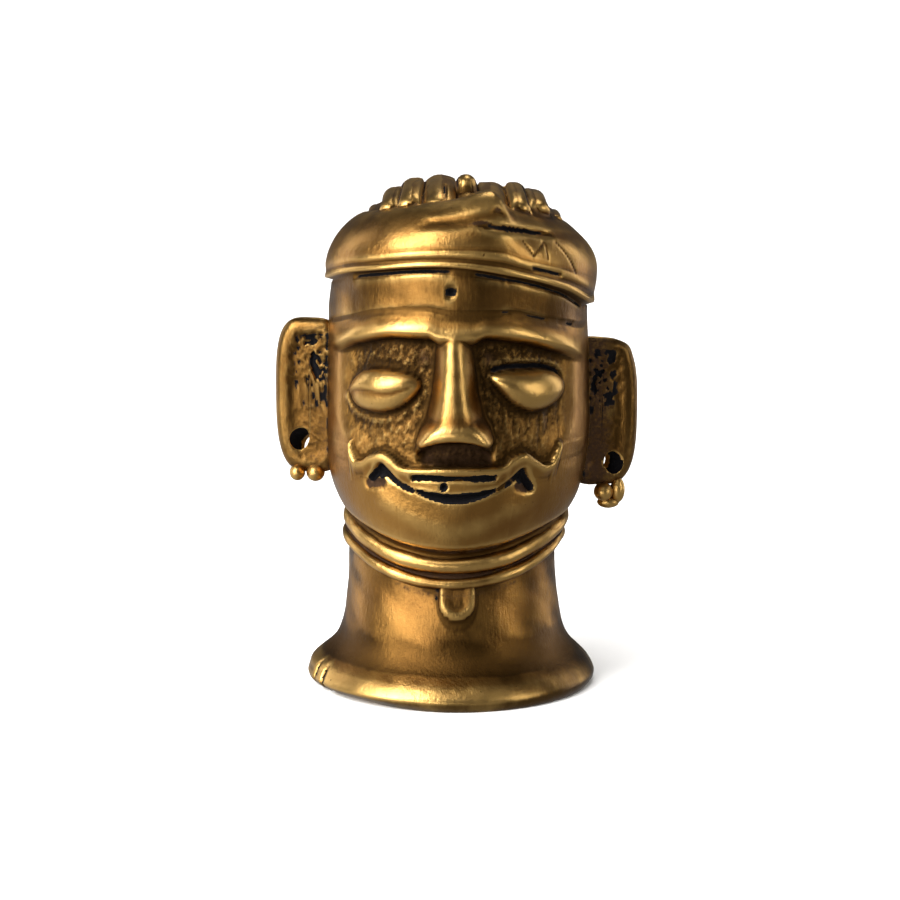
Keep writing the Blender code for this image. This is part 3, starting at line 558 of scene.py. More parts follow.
def body_rows(turn, fine):
    """The body from below the foot to the turban's hem, as x, y and z of every point."""
    flat = np.ones_like(turn)
    low_cord, up_cord, jaw = lower_cord_line(turn), upper_cord_line(turn), jaw_line(turn)
    levels = [
        (-2.0 * flat, 0),
        (0.0 * flat, 2),
        (5.5 * flat, 10),
        (16.0 * flat, 12),
        (low_cord - 1.6, 10),
        (low_cord + 1.2, 9),
        (up_cord + 1.6, 9),
        (jaw + 1.2, 9),
        (43.0 * flat, 10),
        (51.5 * flat, 24),
        (58.0 * flat, 16),
        (around(BROW_EDGE_LINE, turn) - 0.8, 34),
        (around(BROW_EDGE_LINE, turn) + 1.6, 8),
        (around(BROW_TOP_LINE, turn) + 0.8, 8),
        (around(HEM_LINE, turn), 12),
    ]
    scaled = [(line * UNIT, max(1, round(count * fine))) for line, count in levels]
    z = spaced(scaled)
    turns = np.broadcast_to(turn, z.shape)
    radius = body_radius(turns, z)
    radius[-1] -= 0.3
    return turns, radius, z


def band_profile(share):
    """The turban's outline from hem to lip, as (radius share, height share of the band)."""
    radius = TURBAN_RADIUS - LIP_RADIUS
    height = np.where(share < 0.36, share * 0.95, 0.342 + (share - 0.36) * 1.0281)
    t = np.clip((height - 0.26) / 0.74, 0, 1)
    body = LIP_RADIUS + radius * np.clip(1 - t**1.8, 0, 1) ** 0.8
    start = step(height, -0.02, 0.012)
    return body * start + (HEAD_RADIUS - 0.7) * (1 - start), height


def hem_rolls(turn, height):
    """The turban's hem: a thin lip, a soft roll above it and the crease that sets off the band."""
    apart = between(turn, -42, 62, 26)
    lip = HEM_RISE * (0.5 + 0.5 * apart) * hill(height - 0.058, 0.09)
    valley = 0.12 * hill(height - 0.14, 0.09) * (0.25 + 0.75 * apart)
    second = 0.5 * HEM_RISE * hill(height - 0.225, 0.12) * (0.4 + 0.6 * apart)
    crease = 0.12 * hill(height - 0.30, 0.045) * between(turn, -24, 48, 18)
    return lip - valley + second - crease


def seam_height(turn):
    """Where the slit beside the fold runs, as a share of the turban's band at each angle."""
    hem, top = around(HEM_LINE, turn), around(TURBAN_TOP_LINE, turn)
    return (100.6 - 0.075 * (turn - 12) - hem) / (top - hem)


def fold(turn, height):
    """The turban's end, which sweeps up over the front and is tucked in beside a dark slit."""
    seam = seam_height(turn)
    low = 0.705 - 0.0006 * (turn - 14)
    flap = step(turn, -34, 8) * (1 - step(turn, 19, 27)) * step(height, low - 0.08, low + 0.3)
    upper = between(turn, 24, 70, 10) * step(height, seam + 0.01, seam + 0.10)
    valley = between(turn, -12, 12, 11) * hill(height - low + 0.02, 0.13)
    full = 1.1 * between(turn, 60, 130, 30) * hill(height - 0.6, 0.4)
    slit = hill(height - seam, 0.05) * between(turn, 13, 40, 8)
    pit = np.exp(-(((turn - 17) / 3.5) ** 2) - ((height - 0.78) / 0.05) ** 2)
    tip = np.exp(-(((turn - 13) / 9) ** 2) - ((height - 1.0) / 0.2) ** 2)
    rise = FOLD_RISE * (flap + 0.3 * upper + 0.5 * tip)
    return rise + full - 0.35 * valley - 1.4 * slit - 0.4 * pit


# The tool cuts from end to end, as (angle, share of the turban's band, angle, share), the ends of
# the hem's slit in the same way, and the band's height, which turns shares into millimetres.
SCORES = [
    (31.5, 0.38, 27.0, 0.55),
    (31.5, 0.40, 38.5, 0.62),
    (38.3, 0.38, 39.0, 0.60),
    (55.0, 0.30, 45.5, 0.66),
]
HEM_SLIT = (31, 0.20, 45, 0.21)
BAND = 14


def scores(turn, height):
    """The four tool cuts scratched into the turban at +X, and the short slit in its hem."""
    depth = 0.0
    for low_turn, low, high_turn, high in SCORES:
        line = [(low_turn, low * BAND), (high_turn, high * BAND)]
        depth = depth + 0.2 * hill(near(turn, height * BAND, line), 0.36)
    hem = [(HEM_SLIT[0], HEM_SLIT[1] * BAND), (HEM_SLIT[2], HEM_SLIT[3] * BAND)]
    return depth + 0.8 * hill(near(turn, height * BAND, hem), 0.6)


def turban_rows(turn, fine):
    """The turban from its hem to its lip."""
    share = np.linspace(0, 1, round(34 * fine) + 1)[1:, None]
    radius, height = band_profile(share)
    turns = np.broadcast_to(turn, (len(share), len(turn)))
    hem, top = around(HEM_LINE, turn), around(TURBAN_TOP_LINE, turn)
    z = (hem + (top - hem) * height) * UNIT
    height = np.broadcast_to(height, turns.shape)
    radius = radius + hem_rolls(turns, height) + fold(turns, height)
    radius = radius - scores(turns, height) + uneven(turns, z)
    return turns, radius, z


# The locks of hair, as (place across the head, half width, rise as a share of LOCK_RISE).
LOCKS = [
    (-18.0, 1.5, 0.2),
    (-13.9, 2.5, 0.72),
    (-9.8, 3.0, 0.93),
    (-4.4, 4.1, 0.8),
    (1.2, 2.6, 0.5),
    (6.2, 3.9, 0.38),
    (11.3, 2.4, 0.75),
    (15.2, 2.7, 0.75),
    (19.4, 1.7, 0.2),
]
# The middle of the slit in a lock, in X and Y, and the depth of the grooves between the locks.
LOCK_SLIT = (-3.3, -14.5)
GROOVE_DEPTH = 1.0


def dome_height(x, y):
    """The round crown under the locks."""
    share = np.clip(np.sqrt((x / 23.4) ** 2 + np.abs(y / 23.6) ** 3.2), 0, 1)
    return 94.0 + 12.2 * np.sqrt(1 - share**2)


def across_head(place, y):
    """Where a lock lies across the head, as it bows outward to its ends."""
    return place * (1 + 0.10 * np.clip(np.abs(y) / 20, 0, 1) ** 2)


def locks_at(x, y):
    """How high the locks stand at a place, and 1 in the groove between two of them."""
    lip = np.sqrt(np.clip((LIP_RADIUS - 0.4) ** 2 - x**2, 0, None))
    from_end = np.clip((lip - np.abs(y)) / 3.2, 0, 1)
    end = np.sqrt(1 - (1 - from_end) ** 2)
    best, second = np.zeros_like(x), np.zeros_like(x)
    for place, half, height in LOCKS:
        lock = height * np.clip(1 - ((x - across_head(place, y)) / half) ** 2, 0, None) ** 0.5
        second = np.maximum(second, np.minimum(best, lock))
        best = np.maximum(best, lock)
    groove = hill(best - second, 0.4) * step(second, 0.02, 0.1)
    return LOCK_RISE * best * end, groove * end


def hair_height(x, y):
    """The crown: locks combed from front to back over a dome, and a knob of hair on top."""
    rise, groove = locks_at(x, y)
    slit = hill(x - LOCK_SLIT[0], 0.5) * hill(y - LOCK_SLIT[1], 4.5)
    crown = dome_height(x, y) + rise - GROOVE_DEPTH * groove - 1.2 * slit
    reach = np.hypot(x - 1.0, (y + 11.0) / 1.3)
    knob = SHARES - KNOB_RADIUS + roll(reach, KNOB_RADIUS)
    return np.where(reach < KNOB_RADIUS, join(crown, knob, 0.3), crown)


def crown_rows(turn, fine):
    """The crown from the turban's lip to the last ring before the pole."""
    rows = round(46 * fine)
    share = 1 - np.linspace(0, 1, rows + 1)[1:-1, None] ** 0.9
    turns = np.broadcast_to(turn, (len(share), len(turn)))
    radius = share * LIP_RADIUS + 0 * turns
    angle = np.radians(turns)
    x, y = radius * np.sin(angle), -radius * np.cos(angle)
    inside = (1 - share) * LIP_RADIUS
    top = around(TURBAN_TOP_LINE, turn)
    lip = top + 0.25 * hill(inside - 0.5, 1.0) - 2.2 * np.clip(inside - 1.0, 0, None)
    height = join(hair_height(x, y), lip, 0.25)
    return turns, radius, height * UNIT


def columns(count):
    """Angles round the head, closer together over the face."""
    even = np.linspace(-180, 180, 2001)
    dense = 1.0 + 2.2 * between(even, -66, 66, 25)
    total = np.concatenate([[0], np.cumsum((dense[1:] + dense[:-1]) / 2)])
    return np.interp(np.arange(count) / count * total[-1], total, even)


def ear_outline(wide, tall, ear, inset, count):
    """The ear's edge in X and Z from its middle, rounded and narrower at its foot."""
    angle = np.linspace(0, 2 * math.pi, count, endpoint=False)
    c, s = np.cos(angle), np.sin(angle)
    x = (wide / 2 - inset) * np.sign(c) * np.abs(c) ** 0.55
    z = (tall / 2 - inset) * np.sign(s) * np.abs(s) ** 0.62
    low, high = np.clip(-z / (tall / 2), 0, 1), np.clip(z / (tall / 2), 0, 1)
    bump = 0.3 * np.exp(-(((angle - 0.95) / 0.2) ** 2)) * (ear["slope"] > 0)
    z = z - ear["slope"] * (x + wide / 2) * high + bump
    return np.where(x > 0, x * (1 - ear["taper"] * low**2.2), x) + 0.6 * bump, z


def ear_front(inset):
    """How far the ear's front stands out of its middle plane, at this distance in from its edge."""
    edge = np.clip(inset / EAR_EDGE, 0, 1)
    round_edge = EAR_THICKNESS / 2 * np.sqrt(1 - (1 - edge) ** 2)
    dish = EAR_DISH * step(inset, EAR_RIM_WIDTH, 2.2 * EAR_RIM_WIDTH)
    return round_edge + EAR_RIM * hill(inset - EAR_RIM_WIDTH, EAR_RIM_WIDTH) - dish


def ear_rows(ear, count, rim_rings, face_rings):
    """The ear as rings, from the middle of its front over its round edge to its back."""
    wide, tall = ear["outer"] - ear["inner"], ear["top"] - ear["bottom"]
    rim = 2.2 * EAR_RIM_WIDTH * np.linspace(1, 0, rim_rings) ** 1.6
    face = np.linspace(wide / 2 - 0.25, rim[0], face_rings + 1)[:-1]
    front = [(inset, -ear_front(inset)) for inset in np.concatenate([face, rim])]
    back = [(EAR_EDGE * share, ear_front(EAR_EDGE * share)) for share in (0.1, 0.35, 1.0)]
    rows = []
    for inset, y in front + back:
        x, z = ear_outline(wide, tall, ear, inset, count)
        rows.append(np.stack([x, np.full(count, y), z], -1))
    return np.array(rows)


def place_on_ear(points, ear):
    """Moves points from the ear's own middle to its place on the head."""
    yaw = math.radians(EAR_YAW)
    x = points[..., 0] + (ear["outer"] - ear["inner"]) / 2
    y = points[..., 1]
    z = points[..., 2] + (ear["top"] + ear["bottom"]) / 2
    out = ear["inner"] + x * math.cos(yaw) - y * math.sin(yaw)
    deep = EAR_DEPTH + x * math.sin(yaw) + y * math.cos(yaw)
    return np.stack([ear["side"] * out, deep, z * UNIT], -1)


def on_ear(ear, place):
    """X, Y and Z of a place given as (in from the ear's outer edge, depth, up from its foot)."""
    inset, depth, up = place
    return ear["side"] * (ear["outer"] - inset), depth, ear["bottom"] + up


# The net of the casting in the render: how many columns round it and how close its rows lie, the
# points round an ear with the rings of its rim and of its face, and the rings and sides of a drop.
NET_COLUMNS = 326
NET_FINENESS = 0.95
EAR_COLUMNS = 120
EAR_RIM_RINGS = 22
EAR_FACE_RINGS = 12
DROP_RINGS = 16
DROP_SIDES = 28

# What the mould left, as depths and as the size of one grain.
GROUND_DEPTH = 0.22
GROUND_GRAIN = 0.85
PIT_DEPTH = 0.5
PIT_SPACING = 5.0


def cloud(points, size, seed=0.0):
    """Smooth noise from -1 to 1 at these points, with clouds of this size."""
    shift = Vector((seed, 2 * seed, -seed))
    values = [noise.noise(Vector(p) / size + shift) for p in points.reshape(-1, 3)]
    return np.array(values).reshape(points.shape[:-1])


def pits(points, spacing, radius, seed=0.0):
    """1 at the middle of scattered round pits and 0 outside them."""
    shift = Vector((seed, -seed, seed))
    flat = points.reshape(-1, 3)
    near_pit = [noise.voronoi(Vector(p) / spacing + shift)[0][0] for p in flat]
    distance = np.array(near_pit).reshape(points.shape[:-1]) * spacing
    return hill(distance, radius)


def mould_marks(turns, z, points):
    """How deep the rough ground and the pits lie below the skin, and where the ground is."""
    ground = np.clip(sockets(turns, z) / SOCKET_DEPTH, 0, 1)
    left, _, _, _ = eye(turns, z, EYES[0])
    right, _, _, _ = eye(turns, z, EYES[1])
    bare = 1 - step(np.maximum(left, right), 0.15, 0.5)
    off = np.abs((turns + 1.8) * ARC)
    rough = ground * bare * step(off, through(NOSE_FOOT, z) - 1.0, through(NOSE_FOOT, z) + 0.6)
    rough = np.maximum(rough, between(turns, -16, 14.5, 2) * between(z, 51.8, 55.6, 0.8))
    coarse = cloud(points, GROUND_GRAIN * 1.8, 3.0)
    fine_grain = cloud(points, GROUND_GRAIN * 0.6, 7.0)
    lean = np.array([[0.8, 0.0, 0.6], [0.0, 1.0, 0.0], [-0.6, 0.0, 0.8]])
    slanting = (points @ lean) * np.array([1.0, 1.0, 0.25])
    upright = points * np.array([1.0, 1.0, 0.2])
    streaks = np.where(turns < 0, cloud(slanting, 0.9, 11.0), cloud(upright, 1.0, 13.0))
    depth = GROUND_DEPTH * rough * (0.7 * coarse + 0.7 * fine_grain + 0.9 * streaks + 0.4)
    where = step(cloud(points, 14.0, 5.0), 0.25, 0.55)
    depth = depth + PIT_DEPTH * pits(points, PIT_SPACING, 0.42, 2.0) * where
    return depth, rough


def ragged_gaps(turns, z, points):
    """The black gaps that run, broken, under the turban's hem and along the top of the brows."""
    ragged = cloud(points, 3.2, 17.0)
    under = around(HEM_LINE, turns) * UNIT - 0.65
    long_gap = between(turns, -52, -6, 3) + between(turns, 7, 74, 3)
    ends = step(np.abs(turns), 36, 60)
    hem = hill(z - under - 0.25 * ragged, 0.65 - 0.2 * ends) * long_gap
    hem = hem * step(ragged + 0.5 * (1 - ends), -0.25, 0.1)
    crease = around(BROW_TOP_LINE, turns) * UNIT
    side = step(np.abs(turns), 10, 22) * (1 - step(np.abs(turns), 60, 80))
    brow_gap = hill(z - crease - 0.2 * ragged, 0.5) * side * step(ragged, 0.0, 0.25)
    return hem, brow_gap


def casting_points():
    """The casting's outside on the fine net, with the marks of the mould."""
    turn = columns(NET_COLUMNS)
    makers = (body_rows, turban_rows, crown_rows)
    parts = [maker(turn, NET_FINENESS) for maker in makers]
    turns, radius, z = (np.concatenate(column) for column in zip(*parts))
    smooth = place(turns, radius, z)
    below = z < around(HEM_LINE, turns) * UNIT
    marks, rough = mould_marks(turns, z / UNIT, smooth)
    rough = rough * below
    hem_gap, brow_gap = ragged_gaps(turns, z, smooth)
    radius = radius - marks - below * (0.9 * hem_gap + 0.35 * brow_gap)
    return place(turns, radius, z), turns, z, rough


def place(turns, radius, z):
    """Points in space, in millimetres, from their angle, radius and height."""
    angle = np.radians(turns)
    lean = through(LEAN, z / UNIT)
    return np.stack([lean + radius * np.sin(angle), -radius * np.cos(angle), z], -1)


def mouth_soot(turns, z, blot, nibbled):
    """The black in the mouth's grooves and slits, in its hole and in the flecks beside it."""
    peaks = np.minimum(near(turns, z, LEFT_PEAK), near(turns, z, RIGHT_PEAK))
    inner = np.exp(-(((np.abs(turns + 1) - 22) / 4.5) ** 2))
    grooves = 1 - step(peaks + nibbled, 0.6, 1.1 - 0.35 * inner)
    for top_turn, top in (LEFT_PEAK[1], RIGHT_PEAK[2]):
        under = np.exp(-(((turns - top_turn) * ARC / 1.5) ** 2) - ((z - top + 1.3) / 1.3) ** 2)
        grooves = np.maximum(grooves, step(under + nibbled, 0.35, 0.6))
    grooves = grooves * (1 - inner * (1 - step(blot, -0.1, 0.3)))
    smear = hill(near(turns, z, LEFT_SMEAR), 0.9) * step(blot + nibbled, 0.1, 0.35)
    pinch = 1 - 0.6 * np.exp(-(((turns - 1) / 4) ** 2))
    off = np.abs(z - STRAIGHT_SLIT) + nibbled
    upper = (1 - step(off, 0.6 * pinch, 0.95 * pinch)) * between(turns, -19.2, 16.6, 0.7)
    middle, wide = smile(turns)
    off = np.abs(z - middle) / wide + nibbled
    lower = (1 - step(off, 1.1, 1.4)) * between(turns, -17, 17.2, 0.8)
    dot = 1 - step(lip_hole_distance(turns, z), 0.75, 1.15)
    return np.maximum.reduce([grooves, smear, upper, lower, dot])


def soot_at(turns, z, points, blot):
    """Where near-black dirt fills the casting's cuts and holes, from 0 to 1."""
    hem_gap, brow_gap = ragged_gaps(turns, z, points)
    mouth = mouth_soot(turns, z, blot, 0.14 * cloud(points, 0.9, 47.0))
    mark = 1 - step(third_eye_distance(turns, z), 0.9, 1.5)
    _, off, half, along = eye(turns, z, EYES[1])
    lid_gap = hill(off - half - 0.35, 0.9) * between(along, -0.82, 0.8, 0.2)
    beside = np.abs(np.abs(turns - 2.7) * math.radians(NECK_RADIUS) - PENDANT_WIDTH / 2)
    pocket = hill(beside, 1.0) * between(z, 22.5, 25.3, 1.0) * step(blot, -0.6, 0.0)
    nicked = step(np.maximum(*nicks(turns, z)), 0.2, 0.45)
    kinds = [mouth, mark, lid_gap, hem_gap, 0.9 * brow_gap, pocket, nicked]
    return np.clip(np.maximum.reduce(kinds), 0, 1)


def grime_and_shade_at(turns, z, blot):
    """Where the casting is darkened, from 0 to 1: reddish-brown grime in the folds at the jaw and
    between the cords, darker brown under the nose, at the feet of the moustache's peaks and below the
    lower cord, and painted shade in the nooks beside the nose's root.
    """
    feet = np.minimum(near(turns, z, LEFT_PEAK_FOOT), near(turns, z, RIGHT_PEAK_FOOT))
    under_nose = between(turns, -16, 14.5, 3) * between(z, 51.6, 55.6, 0.8)
    # Painted shade: the nooks under the brows beside the nose's root are darkened.
    nook_shade = np.exp(-(((np.abs(turns + 0.8) - 15) / 7) ** 2) - ((z - 73.5) / 4) ** 2)
    low, high = lower_cord_line(turns), upper_cord_line(turns)
    folds = hill(z - jaw_line(turns) + 0.8, 1.2) + hill(z - low - 1.6, 1.0) + hill(z - high + 2.0, 1.0)
    below_cord = hill(z - low + 2.4, 2.4) * between(turns, -28, 34, 14)
    grime_and_shade = 0.55 * under_nose + 0.5 * nook_shade + hill(feet, 2.2) + 0.5 * below_cord
    return np.clip(grime_and_shade + 0.85 * folds * step(blot, -0.7, 0.2), 0, 1)


def patina_and_shade_at(turns, z):
    """Where the brass is browner: on the forehead's band, and as painted shade on the foot's rim and
    on its slope at +X.
    """
    band = between(z, around(BROW_TOP_LINE, turns) + 0.8, around(HEM_LINE, turns) - 0.8, 1.0)
    # Painted shade: the foot's rim and its lower slope at +X are darkened.
    rim = 1 - step(z, 1.6, 2.6)
    slope = (1 - step(z, 6, 14)) * step(turns, 15, 50)
    return 0.32 * band + 0.35 * rim + 0.35 * slope


def crown_stains(points):
    """The grime between the locks, and the black in their deepest grooves and in the slit."""
    x, y = points[..., 0] - through(LEAN, points[..., 2] / UNIT), points[..., 1]
    rise, groove = locks_at(x, y)
    inside = 1 - step(np.hypot(x, y), LIP_RADIUS - 1.2, LIP_RADIUS - 0.2)
    low = 1 - step(rise, 0.1, 0.6)
    crown = inside * (points[..., 2] > 99 * UNIT)
    slit = hill(x - LOCK_SLIT[0], 0.7) * hill(y - LOCK_SLIT[1], 4.5)
    soot = np.maximum(0.75 * step(groove, 0.55, 0.95), step(slit, 0.3, 0.55))
    return np.clip(1.5 * groove + low, 0, 1) * crown, soot * crown


def add_object(name, mesh):
    """Puts a mesh into the scene as an object."""
    thing = bpy.data.objects.new(name, mesh)
    bpy.context.scene.collection.objects.link(thing)
    return thing


def give(mesh, name, values):
    """Stores one number for each point of the mesh, for its material to read."""
    layer = mesh.attributes.new(name, "FLOAT", "POINT")
    layer.data.foreach_set("value", np.ascontiguousarray(values, np.float32).ravel())


def closed_mesh(name, rows, pole=None):
    """A closed mesh from rings of points, with flat ends, or with a pole at the last one."""
    count, around_it = rows.shape[:2]
    index = np.arange(count * around_it).reshape(count, around_it)
    beside = np.roll(index, -1, axis=1)
    faces = np.stack([index[:-1], beside[:-1], beside[1:], index[1:]], -1).reshape(-1, 4).tolist()
    faces.append(index[0][::-1].tolist())
    points = rows.reshape(-1, 3)
    if pole is None:
        faces.append(index[-1].tolist())
    else:
        tip = len(points)
        faces += [[a, b, tip] for a, b in zip(index[-1].tolist(), beside[-1].tolist())]
        points = np.vstack([points, pole])
    mesh = bpy.data.meshes.new(name)
    mesh.from_pydata((points * MM).tolist(), [], faces)
    work = bmesh.new()
    work.from_mesh(mesh)
    bmesh.ops.recalc_face_normals(work, faces=work.faces)
    work.to_mesh(mesh)
    work.free()
    return mesh


def body_mesh():
    """The casting without its ears, with its stains and painted shade stored on it."""
    points, turns, z, rough = casting_points()
    zero = np.zeros(1)
    pole = np.array([LEAN[-1][1], 0, hair_height(zero, zero)[0] * UNIT])
    mesh = closed_mesh("mukhalinga", points, pole)
    blot = cloud(points, 2.2, 23.0)
    slit, pit = fold_stains(turns, z)
    crown_grime, crown_soot = crown_stains(points)
    soot, grime_and_shade = soot_at(turns, z / UNIT, points, blot), grime_and_shade_at(turns, z / UNIT, blot)
    seen = {
        "soot": np.maximum.reduce([soot, crown_soot, slit]),
        "grime_and_shade": np.maximum.reduce([grime_and_shade, crown_grime, pit]),
        "ground": rough,
        "patina_and_shade": patina_and_shade_at(turns, z / UNIT),
    }
    for name, values in seen.items():
        give(mesh, name, np.append(values, 0.0))
    return mesh


def fold_stains(turns, z):
    """The dark slit beside the turban's fold, and the reddish pit at its end."""
    hem, top = around(HEM_LINE, turns), around(TURBAN_TOP_LINE, turns)
    height = (z / UNIT - hem) / (top - hem)
    seam = seam_height(turns)
    slit = (1 - step(np.abs(height - seam), 0.018, 0.04)) * between(turns, 14, 39, 5)
    hem_slit = (1 - step(np.abs(height - 0.205), 0.015, 0.04)) * between(turns, 32, 44, 2)
    pit = np.exp(-(((turns - 17) / 2.5) ** 2) - ((height - 0.80) / 0.05) ** 2)
    start = np.exp(-(((turns - 8) / 6) ** 2) - ((height - 0.645) / 0.035) ** 2)
    return np.maximum(slit, hem_slit), np.clip(0.8 * pit + start, 0, 1)


def ear_mesh(ear):
    """One ear on the fine net, with the pits of its cast face."""
    rows = ear_rows(ear, EAR_COLUMNS, EAR_RIM_RINGS, EAR_FACE_RINGS)
    plate = place_on_ear(rows, ear)
    face = (rows[..., 1] < -EAR_THICKNESS * 0.2) * 1.0
    up = rows[..., 2] / ((ear["top"] - ear["bottom"]) / 2)
    inner = 1 - step(rows[..., 0], -1.0, 6.0)
    where = face * step(up, -0.35, 0.2) * (1 - step(up, 0.72, 0.85)) * inner
    ragged = cloud(plate, 1.1, 43.0) + 0.8 * cloud(plate, 3.2, 29.0)
    holes = np.maximum(pits(plate, 1.7, 0.7, 31.0), step(ragged, 0.12, 0.4))
    grain = cloud(plate, 1.3, 37.0)
    drop = 0.7 * holes * where + 0.2 * np.abs(grain) * face * (0.3 + 0.7 * inner)
    yaw = math.radians(EAR_YAW)
    plate[..., 0] -= ear["side"] * drop * math.sin(yaw)
    plate[..., 1] += drop * math.cos(yaw)
    mesh = closed_mesh(ear["name"], plate)
    root = (1 - step(rows[..., 0], -4.4, -3.2)) * step(cloud(plate, 2.0, 41.0), -0.2, 0.3)
    # Painted shade: shade darkens the face of the ear at +X, on the side away from the key light. On
    # both ears the face also darkens toward the head.
    shade = 0.15 * (ear["side"] > 0)
    give(mesh, "soot", np.clip(step(holes, 0.2, 0.5) * step(where, 0.1, 0.5) + root * face, 0, 1))
    give(mesh, "grime_and_shade", np.clip((0.35 + shade) * face * inner + shade * face, 0, 1))
    give(mesh, "patina_and_shade", 0.35 * face)
    return mesh


def drop_mesh(name, centre, half):
    """An ear drop: a ball or a bean of half sizes half, about centre."""
    polar = np.linspace(0.12, math.pi - 0.12, DROP_RINGS)[:, None]
    angle = np.linspace(0, 2 * math.pi, DROP_SIDES, endpoint=False)[None, :]
    x = centre[0] + half[0] * np.sin(polar) * np.cos(angle)
    y = centre[1] + half[1] * np.sin(polar) * np.sin(angle)
    z = (centre[2] + half[2] * np.cos(polar)) * UNIT + 0 * angle
    return closed_mesh(name, np.stack([x, y, z], -1))


# The pin's rings, as (depth, share of its radius): it widens where it comes out in front.
PIN_STATIONS = [(-4.5, 1.4), (-2.3, 1.1)] + [(away, 1.0) for away in (-1.6, -1, -0.4, 0.3, 1, 2, 5)]
PIN_SIDES = 48


def pin_mesh(name, ear):
    """The pin that leaves the slanting hole through the ear's lobe."""
    angle = np.linspace(0, 2 * math.pi, PIN_SIDES, endpoint=False)
    inset, up = ear["piercing"]
    outward, upward = ear["slant"]
    rows = []
    for away, spread in PIN_STATIONS:
        radius = PIERCING_RADIUS * spread
        spot = (inset - outward * away, EAR_DEPTH + 1.0 + away, up + upward * away)
        x, y, z = on_ear(ear, spot)
        x, z = x + radius * np.cos(angle), z + radius * np.sin(angle)
        rows.append(np.stack([x, np.full(PIN_SIDES, y), z * UNIT], -1))
    mesh = closed_mesh(name, np.array(rows))
    give(mesh, "soot", np.full(len(mesh.vertices), 1.0))
    return mesh


# The strands of wax: their sides, how far and how often they waver, the seed of the wavering, the
# points along a cord and a lock, and how far they stand out of the solid's own cords and locks.
STRAND_SIDES = 32
STRAND_WAVE = 0.55
STRAND_WAVE_LENGTH = 7.0
STRAND_SEED = 4
CORD_POINTS = 180
LOCK_POINTS = 60
CORD_STANDS_OUT = 0.15
LOCK_STANDS_OUT = 0.1


def strand_tree():
    """Geometry nodes that sweep a round strand of wax along each path they are given."""
    tree = bpy.data.node_groups.new("wax_strands", "GeometryNodeTree")
    kinds = {
        "Paths": "NodeSocketGeometry",
        "Sides": "NodeSocketInt",
        "Waviness": "NodeSocketFloat",
        "Wave Length": "NodeSocketFloat",
        "Seed": "NodeSocketInt",
        "Metal": "NodeSocketMaterial",
    }
    for name, kind in kinds.items():
        tree.interface.new_socket(name, in_out="INPUT", socket_type=kind)
    tree.interface.new_socket("Strands", in_out="OUTPUT", socket_type="NodeSocketGeometry")
    given = node(tree, "NodeGroupInput").outputs
    curve = node(tree, "GeometryNodeMeshToCurve", {"Mesh": given["Paths"]}).outputs[0]
    thick = node(tree, "GeometryNodeInputNamedAttribute", {"Name": "thick"}, data_type="FLOAT")
    ring = {"Resolution": given["Sides"], "Radius": 1.0}
    ring = node(tree, "GeometryNodeCurvePrimitiveCircle", ring).outputs[0]
    sweep = {"Curve": curve, "Profile Curve": ring, "Scale": thick.outputs[0], "Fill Caps": True}
    swept = node(tree, "GeometryNodeCurveToMesh", sweep).outputs[0]
    rate = figured(tree, "DIVIDE", 1.0, given["Wave Length"])
    waves = {"W": given["Seed"], "Scale": rate, "Detail": 1.0}
    waves = node(tree, "ShaderNodeTexNoise", waves, noise_dimensions="4D").outputs[0]
    out = figured(tree, "MULTIPLY", figured(tree, "SUBTRACT", waves, 0.5), given["Waviness"])
    normal = node(tree, "GeometryNodeInputNormal").outputs[0]
    offset = {0: normal, "Scale": out}
    offset = node(tree, "ShaderNodeVectorMath", offset, operation="SCALE").outputs[0]
    moved_out = {"Geometry": swept, "Offset": offset}
    shaped = node(tree, "GeometryNodeSetPosition", moved_out).outputs[0]
    real = node(tree, "GeometryNodeRealizeInstances", {"Geometry": shaped}).outputs[0]
    covered = {"Geometry": real, "Material": given["Metal"]}
    covered = node(tree, "GeometryNodeSetMaterial", covered).outputs[0]
    node(tree, "NodeGroupOutput", {"Strands": covered})
    return tree


def swept(name, paths, closed, tree, metal):
    """A mesh of strands from paths, each as rows of x, y, z and thickness in millimetres."""
    edges, start = [], 0
    for path in paths:
        count = len(path)
        edges += [(start + k, start + (k + 1) % count) for k in range(count - 1 + closed)]
        start += count
    points = np.concatenate(paths)
    mesh = bpy.data.meshes.new(name)
    mesh.from_pydata((points[:, :3] * MM).tolist(), edges, [])
    give(mesh, "thick", points[:, 3] * MM)
    thing = add_object(name, mesh)
    change = thing.modifiers.new("strands", "NODES")
    change.node_group = tree
    sizes = {
        "Sides": STRAND_SIDES,
        "Waviness": STRAND_WAVE * MM,
        "Wave Length": STRAND_WAVE_LENGTH * MM,
        "Seed": STRAND_SEED,
        "Metal": metal,
    }
    for socket in tree.interface.items_tree:
        if socket.name in sizes:
            change[socket.identifier] = sizes[socket.name]
    shown = thing.evaluated_get(bpy.context.evaluated_depsgraph_get())
    plain = bpy.data.meshes.new_from_object(shown)
    thing.modifiers.remove(change)
    bpy.data.objects.remove(thing)
    if "thick" in plain.attributes:
        plain.attributes.remove(plain.attributes["thick"])
    return plain


def cord_paths():
    """The two cords round the neck, each a closed path with its thickness."""
    turn = np.linspace(-180, 180, CORD_POINTS + 1)[:-1]
    paths = []
    for line, cord, sunk in cord_lines(turn):
        radius = neck_radius(line) - sunk + cord_swell(turn, line) + uneven(turn, line)
        points = place(turn, radius + CORD_STANDS_OUT, line * UNIT)
        paths.append(np.column_stack([points, np.full(len(turn), cord)]))
    return paths


